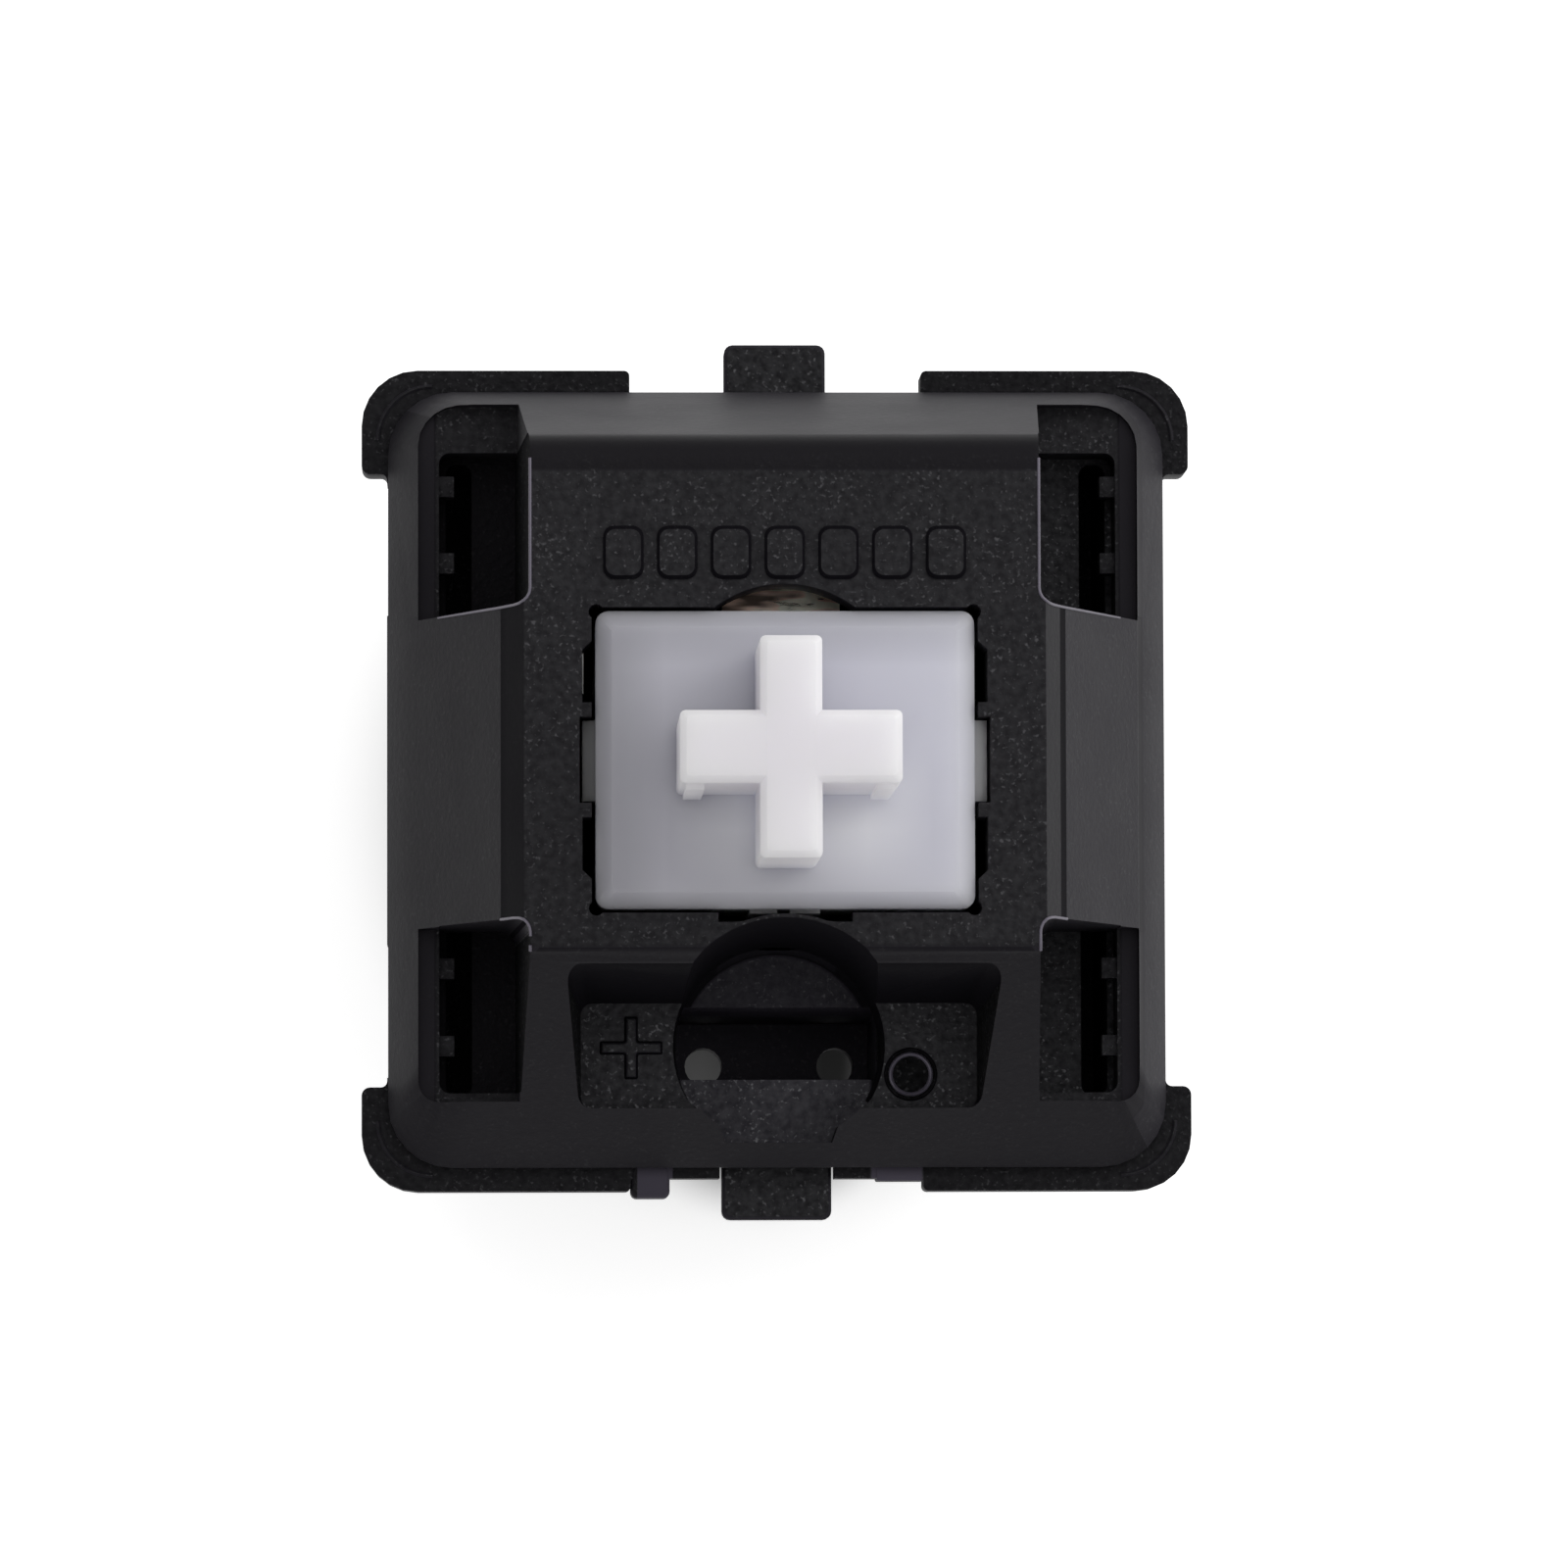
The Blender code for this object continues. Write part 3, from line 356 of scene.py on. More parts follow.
# %% The zones and the four black finishes
EVERY = (-9.0, 9.0)
WHOLE = (EVERY, EVERY, (-5.0, 16.0))
# painted shade in a band along the back edge of the top plate, which is also smoother
CREST_SHADE = ((-4.72, 4.72), (5.34, 5.99), (11.05, 11.65))
# painted shade along the outer edges of the corner pockets, which are also smoother
POCKET_EDGE_SHADE = [(side, EVERY, (7.1, 7.5)) for side in ((-6.80, -6.43), (6.43, 6.80))]
# painted shade on the left sill, painted light on the right one
WEST_SILL_SHADE = ((-6.6, -4.0), (-6.8, 6.8), (5.9, 6.1))
EAST_SILL_LIGHT = ((4.0, 6.6), (-6.8, 6.8), (5.9, 6.1))
# painted light on the floor of the lamp pocket
POCKET_FLOOR_LIGHT = ((-4.2, 4.2), (-6.4, -3.9), (7.2, 7.4))
# painted light in the lamp seat, down its slot and on the clip tabs
SEAT_NORTH_LIGHT = ((-2.2, 2.2), (-5.2, -2.9), (5.1, 5.3))
SEAT_SOUTH_LIGHT = ((-2.2, 2.2), (-7.0, -5.3), (5.1, 5.3))
LAMP_SLOT_LIGHT = ((-2.2, 2.2), (-5.9, -4.2), (0.5, 5.05))
CLIP_TABS_LIGHT = ((-1.1, 1.1), (-8.4, 8.4), (5.5, 5.85))
# painted sheen on the nub and on the patch beside it, both smooth
NUB_SHEEN = ((-2.62, -1.97), (-7.9, -7.26), (5.0, 6.1))
SHEEN_PATCH = ((1.79, 2.71), (-7.60, -7.26), (5.9, 6.1))

black = black_plastic("black_plastic", 0.12, zones=[
    (CREST_SHADE, 0.15, 0.5, 0.06), (POCKET_FLOOR_LIGHT, 1.8, 0.0, 0.05),
    *((edge, 0.45, 0.9, 0.05) for edge in POCKET_EDGE_SHADE)])
black_base = black_plastic("black_base", 0.08, 0.60, zones=[
    (WEST_SILL_SHADE, 0.30, 0.3, 0.05), (EAST_SILL_LIGHT, 3.6, 0.0, 0.05), (SEAT_NORTH_LIGHT, 6.0, 0.55, 0.05),
    (SEAT_SOUTH_LIGHT, 11.0, 0.35, 0.05), (LAMP_SLOT_LIGHT, 5.0, 0.8, 0.03),
    (CLIP_TABS_LIGHT, 2.3, 0.0, 0.03), (NUB_SHEEN, 7.6, 1.0, 0.02), (SHEEN_PATCH, 9.5, 1.0, 0.05)])
# painted shade: a darker, less glossy copy of the black for recess walls and the sides of small
# marks
black_shade = black_plastic("black_shade", 0.010, 0.50, 0.10)
# painted highlight: a black six times lighter and far glossier, for the beads and the ring's crown
black_bead_highlight = black_plastic("black_bead_highlight", 0.90, 6.0, 0.0, [(WHOLE, 1.0, 1.0, 0.1)])
print("black plastics: plain, base, shade and bead")

# %% [markdown]
# ## Milky stem plastic
#
# The stem is unfilled acetal, which lets light in and scatters it. Its platform looks blue-grey
# because it sits over a dark well, while the cross stands in the light. Subsurface scattering
# softens every shadow on it. It doesn't show the thickness by itself here, so light and shade are
# painted into the tone: painted light on the cross and round its foot, painted shade in a band
# along the platform's border and on the rails down in the well, lighter to the right, and a
# painted gradient of light that is darker to the left and front and lighter to the right.

# %% Milky plastic
PLATFORM_Z = 11.70
# painted light on the cross and at its foot, painted shade in the well, and the two platform tones
# end a painted gradient from its shaded to its lit side
CROSS_LIGHT_TONE = (0.785, 0.765, 0.795)
SHADED_SIDE_TONE = (0.400, 0.393, 0.430)
LIT_SIDE_TONE = (0.640, 0.640, 0.715)
WELL_SHADE_TONE = (0.20, 0.20, 0.205)
FOOT_LIGHT_TONE = (0.93, 0.93, 0.96)
PLATFORM_MIDDLE = ((-2.2, 3.0), (-2.3, 1.7), (0.0, 20.0))
CROSS_FOOT = ((-0.9, 1.5), (-1.3, -0.6), (0.0, 20.0))
RISEN = (0.05, 1.70)          # between these heights above the platform the cross's painted light sets in,
SUNK = (-0.45, -0.20)         # and between these the well's painted shade ends
HALF_WELL = 3.7               # half the platform's width, over which the well's painted shade gets lighter
MILK_CLOUD = (260, 3.0, 0.6)  # the noise for slow changes of tone,
MILK_FINE = (3200, 3.0, 0.6)  # and for the satin surface
SCATTER = 1.4 * MM            # how far light spreads in the plastic


def milky_plastic():
    """Satin and translucent, with painted light on the cross and at its foot, painted shade on the
    border and in the well, and a painted gradient of light.
    """
    material = bpy.data.materials.new("milky_plastic")
    tree = tree_of(material)
    place = add(tree, "ShaderNodeTexCoord").outputs["Object"]
    axes = add(tree, "ShaderNodeSeparateXYZ", Vector=place).outputs
    along_x, along_y, height = axes
    cloud = noise(tree, place, *MILK_CLOUD)
    fine = noise(tree, place, *MILK_FINE)
    # a painted gradient of light: lighter to the right and to the back
    light_gradient = math_node(tree, "ADD", math_node(tree, "MULTIPLY", along_x, 1.20),
                      math_node(tree, "MULTIPLY", along_y, 0.45))
    spread = math_node(tree, "ADD", ramp(tree, light_gradient, -4.6 * MM, 4.6 * MM, 0.0, 0.75),
                       math_node(tree, "MULTIPLY", cloud, 0.30))
    plain = colour_mix(tree, spread, SHADED_SIDE_TONE, LIT_SIDE_TONE)
    # painted shade along the platform's border, painted light round the cross's foot
    border_shade = ramp(tree, inside(tree, axes, PLATFORM_MIDDLE, 1.1), 0, 1, 0.66, 1.0)
    foot = math_node(tree, "MULTIPLY", inside(tree, axes, CROSS_FOOT, 1.2), 0.66)
    plain = colour_mix(tree, foot, scaled(tree, plain, border_shade), FOOT_LIGHT_TONE)
    # painted light on the cross
    risen = ramp(tree, height, *[(PLATFORM_Z + rise) * MM for rise in RISEN])
    tall = colour_mix(tree, risen, plain, CROSS_LIGHT_TONE)
    # painted shade in the well, lighter to the right
    sunk = ramp(tree, height, *[(PLATFORM_Z + rise) * MM for rise in SUNK])
    deep = scaled(tree, WELL_SHADE_TONE, ramp(tree, along_x, -HALF_WELL * MM, HALF_WELL * MM, 1.1, 3.2))
    tone = colour_mix(tree, sunk, deep, tall)
    rough = ramp(tree, fine, 0.3, 0.7, 0.34, 0.46)
    bump = add(tree, "ShaderNodeBump", Height=fine, Distance=0.004 * MM, Strength=0.35)
    shader = add(tree, "ShaderNodeBsdfPrincipled", {"subsurface_method": "RANDOM_WALK"},
                 Base_Color=tone, Roughness=rough, Normal=bump.outputs[0], IOR=1.48,
                 Subsurface_Weight=1.0, Subsurface_Radius=(1.0, 1.0, 1.05),
                 Subsurface_Scale=SCATTER, Specular_IOR_Level=0.30)
    surface_output(tree, shader)
    return material


milky = milky_plastic()
print(f"{milky.name}: light spreads {SCATTER / MM:.1f} mm")

# %% [markdown]
# ## Metals
#
# Sheet metal is rolled, which leaves fine lines one way, and is then tinned or plated. A noise
# stretched along the rolling direction gives those lines, and a second one dulls the surface in
# patches, as handling does. The still contact is bare bronze above, with streaks of painted
# highlight and shade along it, and tin-grey below, where its pin was dipped.

# %% Sheet metals and wire
LINES = (6000, 2.0, 0.6)      # the noise for rolling lines,
HANDLED = (700, 3.0, 0.6)     # for dull patches,
HIGHLIGHT_STREAK_NOISE = (2600, 2.0, 0.5)    # and for streaks of painted highlight and shade
HIGHLIGHT_STREAK_GAIN = (0.20, 1.35)   # the darkest and the brightest streak
DIP_LINE = (-0.1, 0.3)        # the tin ends between these heights


def sheet_metal(name, bright, dull, rough_low, rough_high, along, dip=None):
    """A rolled or drawn metal whose lines run along one axis, its pin dipped in tin or not."""
    material = bpy.data.materials.new(name)
    tree = tree_of(material)
    place = add(tree, "ShaderNodeTexCoord").outputs["Object"]
    squeeze = add(tree, "ShaderNodeMapping", Vector=place, Scale=along).outputs[0]
    lines = noise(tree, squeeze, *LINES)
    patch = noise(tree, place, *HANDLED)
    tone = colour_mix(tree, ramp(tree, patch, 0.35, 0.7), bright, dull)
    if dip:
        # painted highlight and shade in streaks along the bare bronze
        streak = ramp(tree, noise(tree, squeeze, *HIGHLIGHT_STREAK_NOISE), 0.38, 0.56, *HIGHLIGHT_STREAK_GAIN)
        height = add(tree, "ShaderNodeSeparateXYZ", Vector=place).outputs[2]
        edge = math_node(tree, "ADD", height, math_node(tree, "MULTIPLY", patch, 0.5 * MM))
        bare = ramp(tree, edge, *[level * MM for level in DIP_LINE])
        tone = colour_mix(tree, bare, dip, scaled(tree, tone, streak))
    rough = math_node(tree, "ADD", ramp(tree, lines, 0.3, 0.7, rough_low, rough_high),
                      ramp(tree, patch, 0.4, 0.8, 0.0, 0.12))
    bump = add(tree, "ShaderNodeBump", Height=lines, Distance=0.004 * MM, Strength=0.3)
    shader = add(tree, "ShaderNodeBsdfPrincipled", Base_Color=tone, Roughness=rough,
                 Metallic=1.0, Normal=bump.outputs[0])
    surface_output(tree, shader)
    return material


TIN = (0.78, 0.75, 0.68)
tinned = sheet_metal("tinned_sheet", TIN, (0.60, 0.56, 0.47), 0.22, 0.38, (1, 1, 0.08))
dipped = sheet_metal("dipped_bronze", (0.98, 0.78, 0.68), (0.84, 0.60, 0.50), 0.24, 0.40,
                     (0.35, 1.6, 0.08), TIN)
bronze = sheet_metal("bronze_strip", (0.82, 0.50, 0.34), (0.60, 0.32, 0.20), 0.20, 0.36,
                     (1, 1, 0.08))
gold = sheet_metal("gold_bar", (0.98, 0.74, 0.34), (0.86, 0.58, 0.24), 0.12, 0.22,
                   (0.1, 1, 1))
steel = sheet_metal("steel_wire", (0.70, 0.70, 0.71), (0.48, 0.48, 0.50), 0.18, 0.34,
                    (1, 1, 1))
print("metals:", ", ".join(metal.name for metal in (tinned, dipped, bronze, gold, steel)))

# %% [markdown]
# ## Round the moulded edges
#
# No moulded or stamped edge is a true corner: each catches a thin line of light. The CAD solids
# have hard edges, so a copy of each is merged, its flat faces are joined up, and a narrow bevel
# is cut along every real corner. Weighted normals then let the large faces stay flat and leave
# the shading's turn to the bevel. The copy stands for the CAD node. Three things come first on
# the cover: its rim comes down the small gap onto the flange, a line along the foot of each side
# step lets the foot have a finish of its own, and the rims of the lamp pocket get a wider bevel,
# because the mould rounds them off.

# %% Copy a solid and round its edges
WELD = 0.0002 * MM        # points closer than this are one
COPLANAR = math.radians(0.6)
SHARP = math.radians(28)
CREASE = math.radians(40)
SOFTER = 2.4              # how much wider the bevel is on the rims that the mould rounds off


def plain_copy(node, name):
    """The node's mesh with its points merged and its flat faces joined up."""
    shape = bmesh.new()
    shape.from_mesh(node.data)
    bmesh.ops.remove_doubles(shape, verts=shape.verts, dist=WELD)
    bmesh.ops.dissolve_limit(shape, angle_limit=COPLANAR, verts=shape.verts, edges=shape.edges)
    mesh = bpy.data.meshes.new(name)
    shape.to_mesh(mesh)
    shape.free()
    piece = bpy.data.objects.new(name, mesh)
    bpy.context.scene.collection.objects.link(piece)
    return piece


def settle(piece):
    """Turns the piece's modifiers into plain mesh."""
    graph = bpy.context.evaluated_depsgraph_get()
    mesh = bpy.data.meshes.new_from_object(piece.evaluated_get(graph))
    piece.modifiers.clear()
    piece.data = mesh
    return piece


def round_edges(piece, width, soft=None):
    """A narrow bevel along the sharp edges, wider on those that a rule calls soft."""
    shape = bmesh.new()
    shape.from_mesh(piece.data)
    weight = shape.edges.layers.float.new("bevel_weight_edge")
    for edge in shape.edges:
        if len(edge.link_faces) == 2 and edge.calc_face_angle() > SHARP:
            edge[weight] = 1.0 if soft and soft(edge) else 1.0 / SOFTER if soft else 1.0
    shape.to_mesh(piece.data)
    shape.free()
    bevel = piece.modifiers.new("edges", "BEVEL")
    bevel.width = width * MM * (SOFTER if soft else 1.0)
    bevel.segments = 3 if soft else 2
    bevel.limit_method = "WEIGHT"
    bevel.miter_outer = "MITER_ARC"
    settle(piece)
    piece.data.shade_smooth()
    piece.data.set_sharp_from_angle(angle=CREASE)
    weigh = piece.modifiers.new("flat_faces", "WEIGHTED_NORMAL")
    weigh.keep_sharp = True
    weigh.weight = 100
    return settle(piece)


# %% Finishes face by face


def paint(piece, material, *others):
    """One finish all over, and others on the faces that their rules pick. The last rule wins."""
    piece.data.materials.clear()
    for finish in (material, *[pair[0] for pair in others]):
        piece.data.materials.append(finish)
    for face in piece.data.polygons:
        picked = [i for i, pair in enumerate(others, 1) if pair[1](face.center / MM, face.normal)]
        face.material_index = max(picked, default=0)


# %% What the cover needs first
STEP_FROM_Z = 10.7        # the middles of the side steps lie above this height
STEP_FOOT_X = 5.08        # where the foot of the side steps begins
RIM_Z = 6.05              # the underside of the cover's rim
RIM_DROP = 0.045          # what closes the gap under it
RIM_NEAR = 0.002          # a point this close to the underside is on it


def worn_rim(edge):
    """The rims of the lamp pocket in the front slope, convex ones only."""
    if not edge.is_convex:
        return False
    middle = (edge.verts[0].co + edge.verts[1].co) / 2 / MM
    on_slope = any(face.normal.y < -0.75 and face.normal.z > 0.5 for face in edge.link_faces)
    return on_slope and abs(middle.x) < 4.3 and middle.z < 11.2


def close_rim(piece):
    """The cover's rim comes down onto the flange, so that no light shows through the seat."""
    for point in piece.data.vertices:
        if abs(point.co.z - RIM_Z * MM) < RIM_NEAR * MM:
            point.co.z -= RIM_DROP * MM
    return piece


def split_steps(piece):
    """A line along the foot of each side step, so that the foot can take its own finish."""
    shape = bmesh.new()
    shape.from_mesh(piece.data)
    for side in (-1, 1):
        steps = [f for f in shape.faces if f.normal.x * side > 0.8 and f.normal.z > 0.3
                 and f.calc_center_median().z > STEP_FROM_Z * MM]
        around = steps + list({e for f in steps for e in f.edges})
        around += list({v for f in steps for v in f.verts})
        bmesh.ops.bisect_plane(shape, geom=around, plane_co=(side * STEP_FOOT_X * MM, 0, 0),
                               plane_no=(side, 0, 0), dist=0.001 * MM)
    shape.to_mesh(piece.data)
    shape.free()
    return piece


# %% Dress the CAD nodes
DRESS = {
    "upper_housing": (black, "black_housing", "housing", 0.055),
    "lower_housing": (black_base, "black_housing", "housing", 0.050),
    "stem": (milky, "milky_stem", "plunger", 0.050),
    "fixed_terminal": (dipped, "bronze_sheet", "housing", 0.020),
    "moving_terminal": (tinned, "tinned_pin", "housing", 0.020),
    "contact_leaf": (bronze, "bronze_sheet", "leaf", 0.012),
    "fixed_crosspoint": (gold, "gold_point", "housing", 0.012),
    "moving_crosspoint": (gold, "gold_point", "leaf", 0.012),
}

dressed = {}
for name, (material, slot, body, width) in DRESS.items():
    piece = plain_copy(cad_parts[name], f"{name}_dressed")
    if name == "upper_housing":
        piece = round_edges(split_steps(close_rim(piece)), width, worn_rim)
    else:
        piece = round_edges(piece, width)
    paint(piece, material)
    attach(piece, body)
    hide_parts(name)
    dressed[name] = piece
    print(f"{name}: {len(piece.data.polygons)} faces")

# %% [markdown]
# ## Recess walls in painted shade
#
# The recess walls are given a darker, less glossy copy of the black, as painted shade, and
# they stay smooth where the open faces are grained: the steps beside the top plate, the far wall
# of the lamp opening, and the walls of the pocket round it. The front and left slopes, and the
# step that faces right, take the darker base finish, a milder painted shade. A rule on each
# face's middle and direction picks its finish, because here one face is one wall, and no border
# has to be blended.

# %% Pick out the recess walls
LEFT_STEP_Z = 9.0         # the left step lies above this height,
RIGHT_STEP_Z = 10.5       # the right one above this,
SLOPE_Z = 6.3             # and the slopes above this


def right_step(middle, normal):
    """The step that faces right."""
    high_right = middle.z > RIGHT_STEP_Z and middle.x > 4.79
    return high_right and normal.x > 0.85 and 0.2 < normal.z < 0.42


def mild_shade_faces(middle, normal):
    """The step that faces right, and the front and left slopes, in a milder painted shade."""
    slope = middle.z > SLOPE_Z and min(normal.x, normal.y) < -0.60 and normal.z > 0.30
    return slope or right_step(middle, normal)


def recess_wall(middle, normal):
    """Steps that face left, the foot of the right one, and the walls round the lamp opening, in
    painted shade.
    """
    left_step = middle.z > LEFT_STEP_Z and normal.x < -0.70 and middle.x < -4.5
    right_foot = right_step(middle, normal) and middle.x > STEP_FOOT_X
    in_pocket = abs(middle.x) < 3.95 and -7.0 < middle.y < -2.95 and middle.z < 11.5
    return left_step or right_foot or (in_pocket and abs(normal.z) < 0.25 and normal.y < 0.5)


cover = dressed["upper_housing"]
# painted shade: the base finish on the front and left slopes and the right step, the shade finish
# on the recess walls
paint(cover, black, (black_base, mild_shade_faces), (black_shade, recess_wall))
shade_place = cover.data.materials.find(black_shade.name)
shaded = sum(face.material_index == shade_place for face in cover.data.polygons)
print(f"recess walls: {shaded} faces")

# %% [markdown]
# ## Wind the spring
#
# A coil follows a rule, so Geometry Nodes draw it: a line of points, each moved to its place on
# the winding by its own number, becomes a curve, and the curve takes a round wire section. Both
# ends have one closed turn.

# %% Spring tree


def new_tree(name, inputs):
    """A geometry tree with named inputs, its group input and group output nodes."""
    tree = bpy.data.node_groups.new(name, "GeometryNodeTree")
    for label, kind in inputs:
        tree.interface.new_socket(label, in_out="INPUT", socket_type=kind)
    tree.interface.new_socket("Geometry", in_out="OUTPUT", socket_type="NodeSocketGeometry")
    return tree, tree.nodes.new("NodeGroupInput").outputs, tree.nodes.new("NodeGroupOutput")


def spring_tree():
    """Builds the winding."""
    tree, given, out = new_tree("spring_winding", [
        ("Turns", "NodeSocketFloat"), ("Radius", "NodeSocketFloat"),
        ("Wire Radius", "NodeSocketFloat"), ("Foot", "NodeSocketFloat"),
        ("Head", "NodeSocketFloat"), ("Closed Pitch", "NodeSocketFloat"),
        ("Steps a Turn", "NodeSocketInt"), ("Wire", "NodeSocketMaterial")])

    def calc(operation, a, b=0.0):
        return math_node(tree, operation, a, b)

    count = calc("ADD", calc("MULTIPLY", given["Turns"], given["Steps a Turn"]), 1.0)
    line = add(tree, "GeometryNodeMeshLine", Count=count)
    index = add(tree, "GeometryNodeInputIndex").outputs[0]
    turn = calc("DIVIDE", index, given["Steps a Turn"])
    angle = calc("MULTIPLY", turn, 2 * math.pi)
    last = calc("SUBTRACT", given["Turns"], 1.0)
    first_part = calc("MINIMUM", turn, 1.0)
    last_part = calc("MAXIMUM", calc("SUBTRACT", turn, last), 0.0)
    middle_part = calc("SUBTRACT", calc("SUBTRACT", turn, first_part), last_part)
    ends = calc("MULTIPLY", calc("ADD", first_part, last_part), given["Closed Pitch"])
    open_rise = calc("SUBTRACT", calc("SUBTRACT", given["Head"], given["Foot"]),
                     calc("MULTIPLY", given["Closed Pitch"], 2.0))
    pitch = calc("DIVIDE", open_rise, calc("SUBTRACT", given["Turns"], 2.0))
    height = calc("ADD", calc("ADD", given["Foot"], ends), calc("MULTIPLY", middle_part, pitch))
    place = add(tree, "ShaderNodeCombineXYZ",
                X=calc("MULTIPLY", given["Radius"], calc("COSINE", angle)),
                Y=calc("MULTIPLY", given["Radius"], calc("SINE", angle)), Z=height)
    wound = add(tree, "GeometryNodeSetPosition", Geometry=line.outputs[0],
                Position=place.outputs[0])
    curve = add(tree, "GeometryNodeMeshToCurve", Mesh=wound.outputs[0])
    section = add(tree, "GeometryNodeCurvePrimitiveCircle", Resolution=10,
                  Radius=given["Wire Radius"])
    wire = add(tree, "GeometryNodeCurveToMesh", Curve=curve.outputs[0],
               Profile_Curve=section.outputs[0], Fill_Caps=True)
    smooth = add(tree, "GeometryNodeSetShadeSmooth", Geometry=wire.outputs[0])
    real = add(tree, "GeometryNodeRealizeInstances", Geometry=smooth.outputs[0])
    done = add(tree, "GeometryNodeSetMaterial", Geometry=real.outputs[0],
               Material=given["Wire"])
    tree.links.new(done.outputs[0], out.inputs[0])
    return tree


def grown(name, tree, values, start=None):
    """An object whose mesh comes out of a geometry tree, with the modifier already gone."""
    piece = bpy.data.objects.new(name, start or bpy.data.meshes.new(name))
    bpy.context.scene.collection.objects.link(piece)
    modifier = piece.modifiers.new(name, "NODES")
    modifier.node_group = tree
    for item in tree.interface.items_tree:
        if item.in_out == "INPUT" and item.name in values:
            modifier[item.identifier] = values[item.name]
    return settle(piece)


# %% Make the spring
SPRING_TURNS = 11
SPRING_STEPS = 40
WIRE_RADIUS = 0.11 * MM
CLOSED_PITCH = 0.25 * MM

spring_low, spring_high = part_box("return_spring")
spring = grown("return_spring_wound", spring_tree(), {
    "Turns": float(SPRING_TURNS), "Radius": spring_high[0] - WIRE_RADIUS,
    "Wire Radius": WIRE_RADIUS, "Foot": spring_low[2] + WIRE_RADIUS,
    "Head": spring_high[2] - WIRE_RADIUS, "Closed Pitch": CLOSED_PITCH,
    "Steps a Turn": SPRING_STEPS, "Wire": steel})
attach(spring, "housing")
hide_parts("return_spring")
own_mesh(spring)

# %% [markdown]
# ## The small moulded marks
#
# Upper housings carry small raised marks from the mould, such as a sign beside the lamp opening
# and the ring that an ejector pin leaves. The broad strip behind the stem gets a plain row of
# low pads, which any maker could use. A row repeats one shape, so Geometry Nodes place it: a
# rounded outline is filled, raised, and drawn in a little at its top, and one copy goes to each
# point of a line.

# %% Pad row tree


def pad_tree():
    """A row of low pads with rounded corners and a drawn-in top."""
    tree, given, out = new_tree("pad_row", [
        ("Count", "NodeSocketInt"), ("Start", "NodeSocketVector"), ("Step", "NodeSocketVector"),
        ("Width", "NodeSocketFloat"), ("Depth", "NodeSocketFloat"), ("Corner", "NodeSocketFloat"),
        ("Height", "NodeSocketFloat"), ("Draw In", "NodeSocketFloat"),
        ("Finish", "NodeSocketMaterial")])
    outline = add(tree, "GeometryNodeCurvePrimitiveQuadrilateral", Width=given["Width"],
                  Height=given["Depth"])
    rounded = add(tree, "GeometryNodeFilletCurve", {"mode": "POLY"}, Curve=outline.outputs[0],
                  Radius=given["Corner"], Count=5)
    face = add(tree, "GeometryNodeFillCurve", {"mode": "NGONS"}, Curve=rounded.outputs[0])
    wall = add(tree, "GeometryNodeExtrudeMesh", {"mode": "FACES"}, Mesh=face.outputs[0],
               Offset_Scale=given["Height"])
    rise = add(tree, "GeometryNodeExtrudeMesh", {"mode": "FACES"}, Mesh=wall.outputs[0],
               Selection=wall.outputs[1], Offset_Scale=given["Draw In"])
    shrink = math_node(tree, "SUBTRACT", 1.0, math_node(
        tree, "DIVIDE", math_node(tree, "MULTIPLY", given["Draw In"], 2.0), given["Width"]))
    drawn = add(tree, "GeometryNodeScaleElements", Geometry=rise.outputs[0],
                Selection=rise.outputs[1], Scale=shrink)
    foot = add(tree, "GeometryNodeFlipFaces", Mesh=face.outputs[0])
    joined = tree.nodes.new("GeometryNodeJoinGeometry")
    for shell in (drawn, foot):
        tree.links.new(shell.outputs[0], joined.inputs[0])
    closed = add(tree, "GeometryNodeMergeByDistance", Geometry=joined.outputs[0],
                 Distance=0.0005 * MM)
    points = add(tree, "GeometryNodeMeshLine", {"mode": "OFFSET"}, Count=given["Count"],
                 Start_Location=given["Start"], Offset=given["Step"])
    row = add(tree, "GeometryNodeInstanceOnPoints", Points=points.outputs[0],
              Instance=closed.outputs[0])
    real = add(tree, "GeometryNodeRealizeInstances", Geometry=row.outputs[0])
    done = add(tree, "GeometryNodeSetMaterial", Geometry=real.outputs[0],
               Material=given["Finish"])
    tree.links.new(done.outputs[0], out.inputs[0])
    return tree


def moulded_on(piece):
    """A mark that is part of the upper housing."""
    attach(piece, "housing")
    print(f"{piece.name}: {len(piece.data.polygons)} faces")


# %% Pads on the strip behind the stem
PADS = 7
PAD_PITCH = 0.985 * MM
PLATE_TOP = 11.60 * MM
PAD_SINK = 0.03 * MM
PAD_RISE = 0.030 * MM
PAD_Y = 3.80 * MM


def sides(middle, normal):
    """What doesn't face up."""
    return normal.z < 0.9


pads = grown("strip_pads", pad_tree(), {
    "Count": PADS, "Start": (-(PADS - 1) / 2 * PAD_PITCH, PAD_Y, PLATE_TOP - PAD_SINK),
    "Step": (PAD_PITCH, 0.0, 0.0), "Width": 0.74 * MM, "Depth": 0.98 * MM,
    "Corner": 0.20 * MM, "Height": PAD_SINK + PAD_RISE, "Draw In": 0.05 * MM,
    "Finish": black})
# painted shade on the pads' sides
paint(pads, black, (black_shade, sides))
moulded_on(pads)

# %% [markdown]
# ## Ring and plus
#
# The ring is turned, like the ejector pin that leaves it: a short profile of radius and height
# goes once round. Its crown has a painted highlight, and the rest of it, groove and all, is in
# painted shade. The plus shows the side for the lamp's positive lead. It is two crossed bars drawn
# as one outline, raised, and given the same narrow bevel as the housing, with its sides in painted
# shade.

